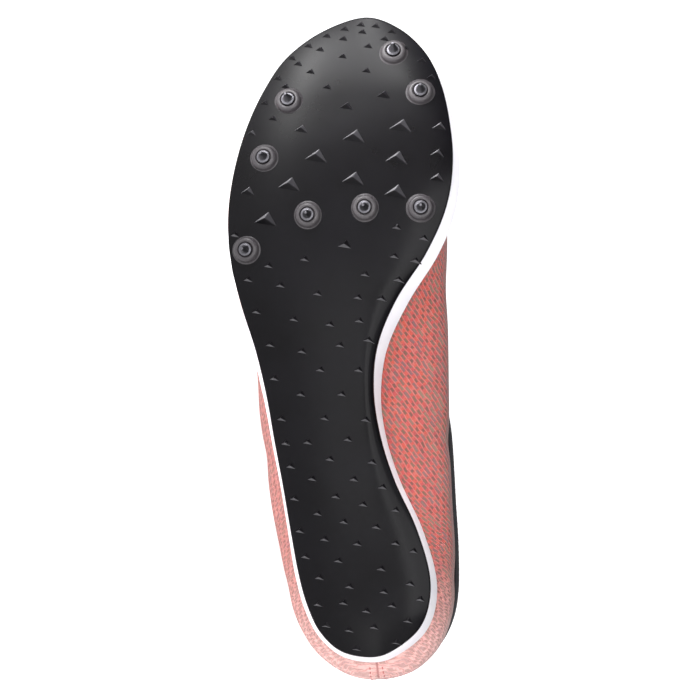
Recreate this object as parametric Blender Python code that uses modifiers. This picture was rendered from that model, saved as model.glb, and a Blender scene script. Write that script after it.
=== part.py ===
"""Track spike shoe for the right foot, empty, lying on its outer side.

The shoe is modelled sole down in its own frame: x runs from the heel tip of the plate to the toe,
+y is the inner (arch) side, -y the outer side and +z is up. Last of all, an empty turns the whole shoe
onto the flat that its hull rests on, with the sole facing -Y and the toe towards -X. Metres.
"""
import math

import bmesh
import bpy
import numpy as np
from mathutils import Matrix, Vector

# Driving sizes of the shoe
SOLE_LENGTH = 0.268
BALL_WIDTH = 0.0913
HEEL_HEIGHT = 0.079
INSTEP_HEIGHT = 0.088
GIRTH_HEIGHT = 0.027
TOE_SPRING = 0.024
HEEL_OVERHANG = 0.0092
TOE_INSET = 0.003

# Sole
PLATE_THICK = 0.0018
PLATE_ROLL = 0.0025
FOAM_HEEL = 0.010
FOAM_STEP = 0.005
FOAM_TUCK = 0.0003
INSOLE_THICK = 0.003
INSOLE_CLEARANCE = 0.0012

# Upper
UPPER_WALL = 0.0020
FEATHER_INSET = 0.0014
OVERLAY_THICK = 0.0009
OVERLAY_CLEARANCE = 0.0008
COLLAR_BAND_WIDTH = 0.010
EYESTAY_WIDTH = 0.014
EYESTAY_TOE_REACH = 0.020
THROAT_TOP_WIDTH = 0.028
THROAT_TOE_WIDTH = 0.016
TONGUE_THICK = 0.0035
TONGUE_UNDERLAP = 0.008
TONGUE_CLEARANCE = 0.0013

# Lace
LACE_WIDTH = 0.0055
LACE_THICK = 0.0012
LACE_CLEARANCE = 0.0008
EYELET_PAIRS = 6
EYELET_EDGE = 0.006

# Spikes and lugs
BOSS_RADIUS = 0.0054
BOSS_TOP_RADIUS = 0.0038
BOSS_HEIGHT = 0.0024
BOSS_ROOT = 0.0009
BOSS_DOME_STEPS = 3
SEAT_RADIUS = 0.0032
SEAT_DEPTH = 0.0008
SPIKE_FLANGE_RADIUS = 0.0027
SPIKE_FLANGE_THICK = 0.0010
SPIKE_CONE_RADIUS = 0.0018
SPIKE_TIP_RADIUS = 0.0006
SPIKE_LENGTH = 0.0062
LUG_ROOT = 0.0006
GAP = 0.0003

# Where the last's spine starts and ends, and where the throat opens, as shares of the sole's length
SPINE_HEEL = 0.113
SPINE_TOE = 0.860
THROAT_TOP = 0.443
THROAT_TOE = 0.680
THROAT_CLOSED = 0.693
TONGUE_TOP = 0.369
TONGUE_TOE = 0.734

# Narrowing of the tongue's first rows, counted from its top
TONGUE_TOP_ROUNDING = (0.66, 0.92)

# Handles of the section curves: flare and lift out of the feather edge and drop below the girth,
# lift above the girth and spread beside the crown, all as shares of the section's own reach
SIDE_FLARE = 0.40
SIDE_LIFT = 0.30
SIDE_DROP = 0.50
CROWN_LIFT = 0.55
CROWN_SPREAD = 0.55

# Height of the lace's two layers of crossings over the bars, as shares of its own thickness
LACE_LAYERS = {-1: 0.30, 1: 0.60}

# Most of the eyestay's toe reach that its round end uses before it closes
EYESTAY_ROUND = 0.95

# Steps of the grids round the foot
FAN_STEPS = 6
QUARTER_STEPS = 7
THROAT_STEPS = 6
VAMP_STEPS = 3
SIDE_ROWS = 4
CROWN_ROWS = 7
BED_RINGS = (0.0, 0.40, 0.72, 0.92, 1.0)
EYESTAY_STEPS = 4
COLLAR_STEPS = 2
TONGUE_STEPS = 11
TONGUE_ACROSS = (-1.0, -0.75, -0.4, 0.0, 0.4, 0.75, 1.0)
RIBBON_STEPS = 8
BOSS_STEPS = 16
SPIKE_STEPS = 12

# Half of the step that a surface's slope is measured over
SLOPE_STEP = 0.0038 * SOLE_LENGTH

# Outlines seen from below: half widths as shares of the ball width, outer side and inner side.
# The plate's stations are shares of the sole's length, the girth's are shares of its own length.
OUTLINES = (
    # station, plate_outer, plate_inner, girth_outer, girth_inner
    (0.01, 0.123, 0.114, 0.130, 0.163),
    (0.04, 0.215, 0.230, 0.253, 0.275),
    (0.08, 0.268, 0.284, 0.330, 0.341),
    (0.13, 0.305, 0.289, 0.380, 0.372),
    (0.20, 0.337, 0.233, 0.415, 0.378),
    (0.27, 0.367, 0.145, 0.450, 0.372),
    (0.34, 0.401, 0.085, 0.472, 0.370),
    (0.41, 0.432, 0.060, 0.494, 0.372),
    (0.48, 0.475, 0.084, 0.500, 0.378),
    (0.55, 0.533, 0.176, 0.537, 0.384),
    (0.62, 0.575, 0.319, 0.574, 0.390),
    (0.69, 0.581, 0.416, 0.586, 0.399),
    (0.76, 0.551, 0.450, 0.564, 0.410),
    (0.83, 0.492, 0.435, 0.501, 0.403),
    (0.89, 0.412, 0.394, 0.397, 0.366),
    (0.94, 0.311, 0.322, 0.303, 0.299),
    (0.98, 0.148, 0.202, 0.159, 0.193),
)
HEEL_TIP_OUT = 0.012
TOE_TIP_OUT = 0.047

# Heights along the foot. Spring, foam, girth and crown are shares of TOE_SPRING, FOAM_HEEL,
# GIRTH_HEIGHT and INSTEP_HEIGHT; the steps are shares of FOAM_STEP on the outer and inner side.
HEIGHTS = (
    # station, spring, foam, step_outer, step_inner, girth, crown
    (0.00, 0.17, 1.00, 0.40, 0.40, 0.95, 1.25),
    (0.06, 0.05, 1.00, 0.50, 0.40, 0.98, 1.25),
    (0.13, 0.01, 0.98, 0.50, 0.32, 1.00, 1.24),
    (0.24, 0.02, 0.92, 0.40, 0.30, 1.00, 1.21),
    (0.36, 0.08, 0.79, 0.40, 0.31, 1.00, 1.12),
    (0.46, 0.08, 0.65, 0.41, 0.63, 0.97, 0.96),
    (0.55, 0.03, 0.55, 0.12, 1.00, 0.95, 0.82),
    (0.63, 0.00, 0.47, 0.03, 0.93, 0.91, 0.68),
    (0.71, 0.04, 0.41, 0.03, 0.67, 0.85, 0.57),
    (0.79, 0.20, 0.35, 0.02, 0.39, 0.77, 0.47),
    (0.87, 0.47, 0.26, -0.01, 0.13, 0.62, 0.39),
    (0.94, 0.75, 0.24, -0.11, -0.06, 0.56, 0.36),
    (1.00, 1.00, 0.22, -0.15, -0.15, 0.50, 0.34),
)

# Height of the ankle opening's edge along the foot, as shares of the heel height
COLLAR = (
    # station, edge
    (-0.030, 1.000),
    (0.020, 0.950),
    (0.080, 0.838),
    (0.160, 0.774),
    (0.250, 0.766),
    (0.330, 0.826),
    (0.390, 0.932),
    (0.450, 1.060),
)

# The eight bosses: station along the sole and place across it, as a share of the ball width
BOSSES = (
    # station, out
    (0.939, 0.181),
    (0.873, 0.305),
    (0.867, -0.298),
    (0.777, -0.409),
    (0.685, -0.212),
    (0.693, 0.049),
    (0.690, 0.302),
    (0.635, -0.498),
)

# Lug sizes: long reach of the triangle and height
LUG_SIZES = {
    "small": (0.0021, 0.0013),
    "middle": (0.0031, 0.0019),
    "large": (0.0050, 0.0028),
}

# Corners of a lug about its peak, as shares of its reach: along the foot, across it
LUG_CORNERS = ((-0.28, -0.93), (0.57, 0.31), (-0.66, 0.94))

# The toe's small lugs, one by one: station along the sole and place across it
TOE_LUGS = (
    # station, out
    (0.988, 0.027), (0.985, 0.095), (0.982, -0.047), (0.976, 0.035),
    (0.975, 0.170), (0.972, -0.129), (0.966, -0.052), (0.963, 0.137),
    (0.957, -0.213), (0.950, -0.158), (0.952, 0.063), (0.947, 0.232),
    (0.938, -0.289), (0.937, -0.053), (0.928, -0.259), (0.926, 0.310),
    (0.914, -0.200), (0.912, 0.057), (0.906, -0.353), (0.892, -0.316),
    (0.888, -0.123), (0.898, 0.353), (0.867, -0.412), (0.841, -0.372),
    (0.819, -0.470),
)

# Straight slanting rows of small lugs: where each starts and ends, and how many
LUG_ROWS = (
    # station_a, out_a, station_b, out_b, count
    (0.015, -0.053, 0.112, 0.202, 4),
    (0.023, 0.126, 0.088, 0.244, 3),
    (0.044, -0.082, 0.101, 0.083, 3),
    (0.052, -0.185, 0.086, -0.102, 2),
    (0.085, -0.219, 0.162, 0.221, 4),
    (0.126, -0.208, 0.226, 0.146, 5),
    (0.175, 0.142, 0.175, 0.142, 1),
    (0.159, -0.269, 0.262, 0.090, 5),
    (0.199, -0.292, 0.301, 0.046, 5),
    (0.249, -0.312, 0.367, 0.021, 5),
    (0.299, -0.326, 0.444, -0.004, 5),
    (0.335, -0.347, 0.335, -0.347, 1),
    (0.373, -0.363, 0.520, 0.007, 5),
    (0.436, -0.391, 0.556, 0.004, 4),
    (0.488, -0.404, 0.564, -0.179, 3),
    (0.490, 0.044, 0.490, 0.044, 1),
    (0.553, 0.110, 0.610, 0.269, 3),
    (0.540, -0.462, 0.618, -0.233, 3),
    (0.590, -0.496, 0.610, -0.400, 2),
    (0.591, 0.040, 0.644, 0.310, 3),
    (0.660, -0.550, 0.660, -0.550, 1),
    (0.662, 0.190, 0.662, 0.190, 1),
)

# The forefoot's larger lugs
BIG_LUGS = (
    # station, out, size
    (0.872, 0.136, "middle"),
    (0.856, -0.034, "middle"),
    (0.822, -0.241, "middle"),
    (0.818, 0.389, "middle"),
    (0.821, 0.213, "large"),
    (0.807, 0.000, "large"),
    (0.778, -0.173, "large"),
    (0.775, 0.379, "middle"),
    (0.770, 0.194, "large"),
    (0.740, -0.005, "large"),
    (0.737, 0.376, "middle"),
    (0.735, -0.298, "large"),
    (0.727, -0.488, "middle"),
    (0.717, 0.187, "large"),
    (0.682, -0.408, "large"),
    (0.638, -0.049, "middle"),
)

# Colours (linear), roughness, metallic
FINISHES = {
    "outsole_plate": ((0.015, 0.014, 0.016), 0.38, 0.0),
    "midsole": ((0.80, 0.79, 0.82), 0.60, 0.0),
    "insole": ((0.10, 0.10, 0.11), 0.80, 0.0),
    "upper": ((0.78, 0.17, 0.14), 0.75, 0.0),
    "eyestay": ((0.72, 0.12, 0.10), 0.60, 0.0),
    "collar_band": ((0.02, 0.02, 0.02), 0.80, 0.0),
    "tongue": ((0.72, 0.18, 0.15), 0.80, 0.0),
    "lace": ((0.85, 0.85, 0.84), 0.80, 0.0),
    "spike": ((0.45, 0.45, 0.46), 0.30, 1.0),
}

# Weight of each material for the resting pose, in kg per cubic metre
DENSITIES = {
    "outsole_plate": 1100,
    "midsole": 300,
    "insole": 300,
    "upper": 300,
    "eyestay": 300,
    "collar_band": 300,
    "tongue": 300,
    "lace": 300,
    "spike": 7850,
}


def column(table, index):
    """One named column of a table, as its stations and its values."""
    return [row[0] for row in table], [row[index] for row in table]


def along(table, index, share):
    """Read a table's column at any station, smoothly (cubic Hermite through the rows)."""
    xs, ys = column(table, index)
    if share <= xs[0]:
        return ys[0]
    if share >= xs[-1]:
        return ys[-1]
    k = max(i for i in range(len(xs) - 1) if xs[i] <= share)

    def slope(i):
        a = max(i - 1, 0)
        b = min(i + 1, len(xs) - 1)
        return (ys[b] - ys[a]) / (xs[b] - xs[a])

    h = xs[k + 1] - xs[k]
    t = (share - xs[k]) / h
    return (
        (2 * t**3 - 3 * t**2 + 1) * ys[k]
        + (t**3 - 2 * t**2 + t) * h * slope(k)
        + (3 * t**2 - 2 * t**3) * ys[k + 1]
        + (t**3 - t**2) * h * slope(k + 1)
    )


def closed_curve(points, steps=8):
    """A closed Catmull-Rom curve through the points, as a polyline."""
    points = np.array(points)
    count = len(points)
    curve = []
    for i in range(count):
        a, b, c, d = (points[(i + k) % count] for k in (-1, 0, 1, 2))
        for step in range(steps):
            t = step / steps
            curve.append(
                0.5 * (2 * b + (c - a) * t + (2 * a - 5 * b + 4 * c - d) * t**2
                       + (3 * b - a - 3 * c + d) * t**3)
            )
    return np.array(curve)


def outline(start, length, outer, inner, heel_tip, toe_tip):
    """Closed outline on the ground: heel tip, outer side, toe tip, inner side back."""
    points = [(start, heel_tip * BALL_WIDTH)]
    points += [(start + row[0] * length, -row[outer] * BALL_WIDTH) for row in OUTLINES]
    points += [(start + length, toe_tip * BALL_WIDTH)]
    points += [(start + row[0] * length, row[inner] * BALL_WIDTH) for row in reversed(OUTLINES)]
    return closed_curve(points)


PLATE_OUTLINE = outline(0.0, SOLE_LENGTH, 1, 2, HEEL_TIP_OUT, TOE_TIP_OUT)
GIRTH_LENGTH = SOLE_LENGTH + HEEL_OVERHANG - TOE_INSET
GIRTH_OUTLINE = outline(-HEEL_OVERHANG, GIRTH_LENGTH, 3, 4, HEEL_TIP_OUT, TOE_TIP_OUT)


def reach(curve, foot, direction):
    """Distance from a spine point, along a direction, to a closed outline."""
    start = curve - np.array(foot)
    end = np.roll(start, -1, axis=0)
    side_start = start[:, 0] * direction[1] - start[:, 1] * direction[0]
    side_end = end[:, 0] * direction[1] - end[:, 1] * direction[0]
    best = 0.0
    for i in np.nonzero((side_start <= 0) != (side_end <= 0))[0]:
        share = side_start[i] / (side_start[i] - side_end[i])
        point = start[i] + share * (end[i] - start[i])
        best = max(best, point @ np.array(direction))
    return best


def rays():
    """Directions round the foot from its spine: heel, outer side, toe, inner side and back.

    Each ray is (foot on the spine, direction). The heel and the toe are fans about the spine's ends.
    """
    heel = SPINE_HEEL * SOLE_LENGTH
    toe = SPINE_TOE * SOLE_LENGTH
    stations = list(np.linspace(heel, THROAT_TOP * SOLE_LENGTH, QUARTER_STEPS + 1))
    stations += list(np.linspace(THROAT_TOP, THROAT_TOE, THROAT_STEPS + 1)[1:] * SOLE_LENGTH)
    stations += list(np.linspace(THROAT_CLOSED * SOLE_LENGTH, toe, VAMP_STEPS + 1))
    fan = [math.radians(90 * k / FAN_STEPS) for k in range(FAN_STEPS)]
    outer = [((heel, 0.0), (-math.cos(a), -math.sin(a))) for a in fan]
    outer += [((x, 0.0), (0.0, -1.0)) for x in stations]
    outer += [((toe, 0.0), (math.sin(a), -math.cos(a))) for a in fan[1:]]
    tip = [((toe, 0.0), (1.0, 0.0))]
    inner = [(foot, (direction[0], -direction[1])) for foot, direction in reversed(outer[1:])]
    return outer + tip + inner


RAYS = rays()


def at(ray, distance):
    """Ground point at a distance from the spine along a ray."""
    foot, direction = ray
    return foot[0] + direction[0] * distance, foot[1] + direction[1] * distance


def plate_reach(ray):
    return reach(PLATE_OUTLINE, *ray)


def spring(x):
    """Height of the plate's underside on the spine: heel bevel, arch and toe spring."""
    return TOE_SPRING * along(HEIGHTS, 1, x / SOLE_LENGTH)


def foam(x):
    """Thickness of the midsole."""
    return FOAM_HEEL * along(HEIGHTS, 2, x / SOLE_LENGTH)


def rolled(share):
    """Rise of the rolled edge at a share of the way from spine to plate edge."""
    return PLATE_ROLL * min(share, 1.0) ** 4


def foam_reach(ray):
    """Distance to the midsole's upper edge, which steps out past the plate."""
    edge = plate_reach(ray)
    x = at(ray, edge)[0]
    inner = 0.5 + 0.5 * ray[1][1]
    step = (1 - inner) * along(HEIGHTS, 3, x / SOLE_LENGTH) + inner * along(HEIGHTS, 4, x / SOLE_LENGTH)
    return edge + FOAM_STEP * step


def bezier(a, b, c, d, t):
    """Point on a cubic Bezier."""
    return (1 - t) ** 3 * a + 3 * (1 - t) ** 2 * t * b + 3 * (1 - t) * t**2 * c + t**3 * d


def feather(ray):
    """Lowest edge of the upper, on top of the midsole: distance and height."""
    distance = foam_reach(ray) - FEATHER_INSET
    x = at(ray, distance)[0]
    return np.array((distance, spring(x) + rolled(1.0) + PLATE_THICK + foam(x) + 2 * GAP))


def girth(ray):
    """Widest line of the upper: distance and height."""
    distance = reach(GIRTH_OUTLINE, *ray)
    x = at(ray, distance)[0]
    return np.array((distance, spring(x) + GIRTH_HEIGHT * along(HEIGHTS, 5, x / SOLE_LENGTH)))


def crown(ray):
    """Top of the closed section over the spine. It is virtual where the shoe is open."""
    x = ray[0][0]
    return np.array((0.0, spring(x) + INSTEP_HEIGHT * along(HEIGHTS, 6, x / SOLE_LENGTH)))


def side_section(ray, t):
    """Section from the feather edge (0) to the girth (1)."""
    low = feather(ray)
    high = girth(ray)
    out = max(high[0] - low[0], 0.0)
    rise = high[1] - low[1]
    return bezier(low, low + (SIDE_FLARE * out, SIDE_LIFT * rise), high - (0.0, SIDE_DROP * rise), high, t)


def crown_section(ray, t):
    """Section from the girth (0) to the crown on the spine (1)."""
    low = girth(ray)
    top = crown(ray)
    lift = CROWN_LIFT * (top[1] - low[1])
    return bezier(low, low + (0.0, lift), top + (CROWN_SPREAD * low[0], 0.0), top, t)


def solve(function, goal):
    """Parameter between 0 and 1 at which a rising function meets its goal."""
    if function(1.0) <= goal:
        return 1.0
    low, high = 0.0, 1.0
    for _ in range(30):
        middle = 0.5 * (low + high)
        if function(middle) < goal:
            low = middle
        else:
            high = middle
    return 0.5 * (low + high)


def throat_half(x):
    """Half width of the throat at a station, nothing where the vamp is closed."""
    share = (x / SOLE_LENGTH - THROAT_TOP) / (THROAT_TOE - THROAT_TOP)
    if share > 1.0001:
        return 0.0
    return 0.5 * (THROAT_TOP_WIDTH + (THROAT_TOE_WIDTH - THROAT_TOP_WIDTH) * max(share, 0.0))


def across(ray, half):
    """Parameter of the crown section at a given distance from the spine."""
    return solve(lambda t: -crown_section(ray, t)[0], -half)


def edge_parameter(ray, drop=0.0):
    """Where the crown section ends: at the ankle opening, at the throat or on the ridge."""
    x = ray[0][0]
    if x > THROAT_TOP * SOLE_LENGTH + 1e-6:
        return across(ray, throat_half(x))
    station = at(ray, reach(GIRTH_OUTLINE, *ray))[0] / SOLE_LENGTH
    height = HEEL_HEIGHT * along(COLLAR, 1, station) - drop
    return solve(lambda t: crown_section(ray, t)[1], height)


def stand(ray, section):
    """Turn a section point into a point of the shoe."""
    x, y = at(ray, section[0])
    return Vector((x, y, section[1]))


def new_object(name, mesh, group):
    """Make an object in a collection."""
    item = bpy.data.objects.new(name, mesh)
    group.objects.link(item)
    return item


def material(name):
    """Principled material of a sub-part."""
    colour, roughness, metallic = FINISHES[name]
    made = bpy.data.materials.new(name)
    made.use_nodes = True
    shader = made.node_tree.nodes["Principled BSDF"]
    shader.inputs["Base Color"].default_value = (*colour, 1.0)
    shader.inputs["Roughness"].default_value = roughness
    shader.inputs["Metallic"].default_value = metallic
    return made


def mesh_of(name, vertices, faces, finish, smooth=True):
    """Mesh from a loft's points and faces, welded where rows meet, with faces pointing out."""
    mesh = bpy.data.meshes.new(name)
    mesh.from_pydata(vertices, [], faces)
    model = bmesh.new()
    model.from_mesh(mesh)
    bmesh.ops.remove_doubles(model, verts=model.verts, dist=1e-6)
    bmesh.ops.dissolve_degenerate(model, edges=model.edges, dist=1e-7)
    bmesh.ops.recalc_face_normals(model, faces=model.faces)
    model.to_mesh(mesh)
    model.free()
    if smooth:
        mesh.shade_smooth()
    mesh.materials.append(finish)
    return mesh


def grid_faces(rows, columns, closed):
    """Quads of a grid of rows by columns, numbered row by row."""
    last = columns if closed else columns - 1
    return [
        (r * columns + c, r * columns + (c + 1) % columns,
         (r + 1) * columns + (c + 1) % columns, (r + 1) * columns + c)
        for r in range(rows - 1) for c in range(last)
    ]


def bed_point(ray, share, edge, height):
    """Point of a sole surface: share of the way to an edge, at a height function of x and share."""
    x, y = at(ray, share * edge)
    return Vector((x, y, height(x, share)))


def slab(name, low_edge, low_height, high_edge, high_height, finish):
    """Closed solid between two sole surfaces, each with its own edge and height."""
    points = []
    for share in BED_RINGS:
        points += [bed_point(ray, share, low_edge(ray), low_height) for ray in RAYS]
    for share in reversed(BED_RINGS):
        points += [bed_point(ray, share, high_edge(ray), high_height) for ray in RAYS]
    faces = grid_faces(2 * len(BED_RINGS), len(RAYS), True)
    return mesh_of(name, points, faces, finish)


def plate_low(x, share):
    return spring(x) + rolled(share)


def plate_high(x, share):
    return plate_low(x, share) + PLATE_THICK


def foam_low(x, share):
    return plate_high(x, share) + GAP


def foam_high(x, share):
    return foam_low(x, share) + foam(x)


def insole_low(x, share):
    return foam_high(x, share) + GAP


def insole_high(x, share):
    return insole_low(x, share) + INSOLE_THICK


def insole_edge(ray):
    return feather(ray)[0] - UPPER_WALL - INSOLE_CLEARANCE


def plate_point(station, out):
    """Point on the plate's underside and the direction that stands out of it there."""
    x = station * SOLE_LENGTH
    y = out * BALL_WIDTH
    foot_x = min(max(x, SPINE_HEEL * SOLE_LENGTH), SPINE_TOE * SOLE_LENGTH)
    offset = np.array((x - foot_x, y))
    distance = float(np.hypot(*offset))
    direction = offset / distance if distance > 1e-9 else np.array((0.0, 1.0))
    ray = ((foot_x, 0.0), tuple(direction))
    share = distance / plate_reach(ray)
    slope_x = (spring(x + SLOPE_STEP) - spring(x - SLOPE_STEP)) / (2 * SLOPE_STEP)
    slope_r = 4 * PLATE_ROLL * min(share, 1.0) ** 3 / plate_reach(ray)
    normal = Vector((slope_x + slope_r * direction[0], slope_r * direction[1], -1.0)).normalized()
    return Vector((x, y, plate_low(x, share))), normal


def standing(point, normal):
    """Frame on the plate: z out of the sole, x along the foot, y across it."""
    along_foot = (Vector((1, 0, 0)) - normal * normal.x).normalized()
    side = normal.cross(along_foot)
    turn = Matrix((along_foot, side, normal)).transposed().to_4x4()
    return Matrix.Translation(point) @ turn


def lug_places():
    """Every lug as (station, out, size name)."""
    places = [(station, out, "small") for station, out in TOE_LUGS]
    for station_a, out_a, station_b, out_b, count in LUG_ROWS:
        for k in range(count):
            share = k / max(count - 1, 1)
            places.append((station_a + share * (station_b - station_a),
                           out_a + share * (out_b - out_a), "small"))
    return places + list(BIG_LUGS)


def lug_forms(finish):
    """All lugs as three-sided pyramids with their roots sunk in the plate."""
    points = []
    faces = []
    for station, out, size in lug_places():
        length, height = LUG_SIZES[size]
        frame = standing(*plate_point(station, out))
        spread = (height + LUG_ROOT) / height
        first = len(points)
        for corner_x, corner_y in LUG_CORNERS:
            corner = Vector((corner_x * length * spread, -corner_y * length * spread, -LUG_ROOT))
            points.append(frame @ corner)
        points.append(frame @ Vector((0.0, 0.0, height)))
        faces += [(first, first + 1, first + 2), (first, first + 3, first + 1),
                  (first + 1, first + 3, first + 2), (first + 2, first + 3, first)]
    return mesh_of("lug_forms", points, faces, finish, smooth=False)


def turned(name, profile, finish):
    """Half section of a turned form: radius and height of each of its corners."""
    mesh = bpy.data.meshes.new(name)
    points = [(radius, 0.0, height) for radius, height in profile]
    mesh.from_pydata(points, [(i, i + 1) for i in range(len(points) - 1)], [])
    mesh.materials.append(finish)
    return mesh


def add_screw(item, sides):
    """Sweep a half section round its axis."""
    screw = item.modifiers.new("Turn", "SCREW")
    screw.steps = sides
    screw.render_steps = sides
    screw.use_merge_vertices = True
    screw.merge_threshold = 0.00001
    screw.use_smooth_shade = True


def add_union(item, other, forms_touch=False):
    """Weld another form onto an item. Forms may touch each other, as lugs do on a smaller plate."""
    union = item.modifiers.new("Join", "BOOLEAN")
    union.operation = "UNION"
    union.solver = "EXACT"
    union.use_self = forms_touch
    union.object = other


def make_plate(parts, forms):
    """Outsole plate with its lugs and bosses moulded on."""
    finish = material("outsole_plate")
    mesh = slab("outsole_plate", plate_reach, plate_low, plate_reach, plate_high, finish)
    plate = new_object("outsole_plate", mesh, parts)
    lugs = new_object("lug_forms", lug_forms(finish), forms)
    add_union(plate, lugs, forms_touch=True)
    floor = BOSS_HEIGHT - SEAT_DEPTH
    profile = [(0.0, floor), (SEAT_RADIUS, floor), (SEAT_RADIUS, BOSS_HEIGHT)]
    for k in range(BOSS_DOME_STEPS + 1):
        angle = math.radians(90 * (1 - k / BOSS_DOME_STEPS))
        profile.append((BOSS_TOP_RADIUS + (BOSS_RADIUS - BOSS_TOP_RADIUS) * math.cos(angle),
                        BOSS_HEIGHT * math.sin(angle)))
    profile += [(BOSS_RADIUS, -BOSS_ROOT), (0.0, -BOSS_ROOT)]
    boss_mesh = turned("boss_form", profile, finish)
    for number, (station, out) in enumerate(BOSSES, 1):
        boss = new_object(f"boss_form_{number}", boss_mesh, forms)
        boss.matrix_world = standing(*plate_point(station, out))
        add_screw(boss, BOSS_STEPS)
        add_union(plate, boss)
    return plate


def make_spikes(parts):
    """Eight turned steel pins, each seated in its boss."""
    base = BOSS_HEIGHT - SEAT_DEPTH + GAP
    top = base + SPIKE_FLANGE_THICK
    profile = ((0.0, base + SPIKE_LENGTH), (SPIKE_TIP_RADIUS, base + SPIKE_LENGTH),
               (SPIKE_CONE_RADIUS, top), (SPIKE_FLANGE_RADIUS, top), (SPIKE_FLANGE_RADIUS, base),
               (0.0, base))
    mesh = turned("spike", profile, material("spike"))
    spikes = []
    for number, (station, out) in enumerate(BOSSES, 1):
        spike = new_object(f"spike_{number}", mesh, parts)
        spike.matrix_world = standing(*plate_point(station, out))
        add_screw(spike, SPIKE_STEPS)
        spikes.append(spike)
    return spikes


def make_midsole(parts):
    """White foam between the plate and the upper, its edge stepping out past the plate."""
    mesh = slab("midsole", lambda ray: plate_reach(ray) - FOAM_TUCK, foam_low,
                foam_reach, foam_high, material("midsole"))
    return new_object("midsole", mesh, parts)


def make_insole(parts):
    """Thin footbed inside the upper."""
    mesh = slab("insole", insole_edge, insole_low, insole_edge, insole_high, material("insole"))
    return new_object("insole", mesh, parts)


def add_wall(item, thickness, offset):
    """Give a surface its thickness, inwards (-1) or outwards (1)."""
    wall = item.modifiers.new("Wall", "SOLIDIFY")
    wall.thickness = thickness
    wall.offset = offset
    wall.use_even_offset = True
    wall.use_quality_normals = True


def make_upper(parts):
    """The mesh upper: side and crown sections of every ray, with a wall inside them."""
    points = []
    for row in range(SIDE_ROWS):
        points += [stand(ray, side_section(ray, row / SIDE_ROWS)) for ray in RAYS]
    for row in range(CROWN_ROWS + 1):
        points += [stand(ray, crown_section(ray, edge_parameter(ray) * row / CROWN_ROWS))
                   for ray in RAYS]
    faces = grid_faces(SIDE_ROWS + CROWN_ROWS + 1, len(RAYS), True)
    mesh = mesh_of("upper", points, faces, material("upper"))
    upper = new_object("upper", mesh, parts)
    add_wall(upper, UPPER_WALL, -1.0)
    return upper


def outward(ray, t, neighbour_a, neighbour_b):
    """Direction out of the crown surface at a ray's parameter, from its neighbours' sections."""
    up = stand(ray, crown_section(ray, min(t + 0.01, 1.0))) - stand(ray, crown_section(ray, t - 0.01))
    behind = stand(neighbour_a, crown_section(neighbour_a, t))
    ahead = stand(neighbour_b, crown_section(neighbour_b, t))
    return (ahead - behind).cross(up).normalized()


def raised(index, t, height):
    """Point above the upper's crown surface by a height."""
    ray = RAYS[index % len(RAYS)]
    before = RAYS[(index - 1) % len(RAYS)]
    after = RAYS[(index + 1) % len(RAYS)]
    normal = outward(ray, t, before, after)
    if t > 1.0 - 1e-6:
        normal = Vector((normal.x, 0.0, normal.z)).normalized()
    return stand(ray, crown_section(ray, t)) + normal * height


def overlay(name, indices, start, end, rows, finish, parts):
    """Thin patch over the upper along some rays, from one parameter to another on each."""
    points = []
    for row in range(rows + 1):
        for index in indices:
            a = start(RAYS[index % len(RAYS)])
            b = end(RAYS[index % len(RAYS)])
            points.append(raised(index, a + (b - a) * row / rows, OVERLAY_CLEARANCE))
    mesh = mesh_of(name, points, grid_faces(rows + 1, len(indices), False), finish)
    item = new_object(name, mesh, parts)
    add_wall(item, OVERLAY_THICK, 1.0)
    return item


def make_collar_band(parts):
    """Black band round the outside of the ankle opening."""
    last = FAN_STEPS + QUARTER_STEPS - 1
    indices = list(range(-last, last + 1))
    return overlay("collar_band", indices, lambda ray: edge_parameter(ray, COLLAR_BAND_WIDTH),
                   edge_parameter, COLLAR_STEPS, material("collar_band"), parts)


def eyestay_half(x):
    """Half width of the eyestay's outline: a band along the throat with a round toe end."""
    toe = THROAT_TOE * SOLE_LENGTH
    if x <= toe:
        return throat_half(x) + EYESTAY_WIDTH
    past = min((x - toe) / EYESTAY_TOE_REACH, EYESTAY_ROUND)
    return (throat_half(toe) + EYESTAY_WIDTH) * math.sqrt(1.0 - past**2)


def make_eyestay(parts):
    """Overlay round the throat: one side, across the vamp's end and back on the other side."""
    first = FAN_STEPS + QUARTER_STEPS
    last = first + THROAT_STEPS + 2
    finish = material("eyestay")
    count = len(RAYS)
    outer = list(range(first, last + 1))
    inner = [count - index for index in reversed(outer)]
    points = []
    rows = EYESTAY_STEPS
    for indices in (outer, inner):
        for index in indices:
            ray = RAYS[index]
            a = across(ray, eyestay_half(ray[0][0]))
            b = edge_parameter(ray)
            points += [raised(index, a + (b - a) * row / rows, OVERLAY_CLEARANCE)
                       for row in range(rows + 1)]
    half = len(outer)
    faces = []
    for side in (0, 1):
        base = side * half * (rows + 1)
        faces += [tuple(base + i for i in face) for face in grid_faces(half, rows + 1, False)]
    mesh = mesh_of("eyestay", points, faces, finish)
    item = new_object("eyestay", mesh, parts)
    add_wall(item, OVERLAY_THICK, 1.0)
    return item


def crown_height(x, y):
    """Height of the crown surface over a point of the straight part of the foot."""
    ray = ((x, 0.0), (0.0, 1.0 if y >= 0 else -1.0))
    return crown_section(ray, across(ray, abs(y)))[1]


def saddle(x, y, drop):
    """Point over the instep at a station and place across, sunk square below the crown."""
    slope_x = (crown_height(x + SLOPE_STEP, y) - crown_height(x - SLOPE_STEP, y)) / (2 * SLOPE_STEP)
    slope_y = (crown_height(x, y + SLOPE_STEP) - crown_height(x, y - SLOPE_STEP)) / (2 * SLOPE_STEP)
    normal = Vector((-slope_x, -slope_y, 1.0)).normalized()
    return Vector((x, y, crown_height(x, y))) - normal * drop


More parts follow.
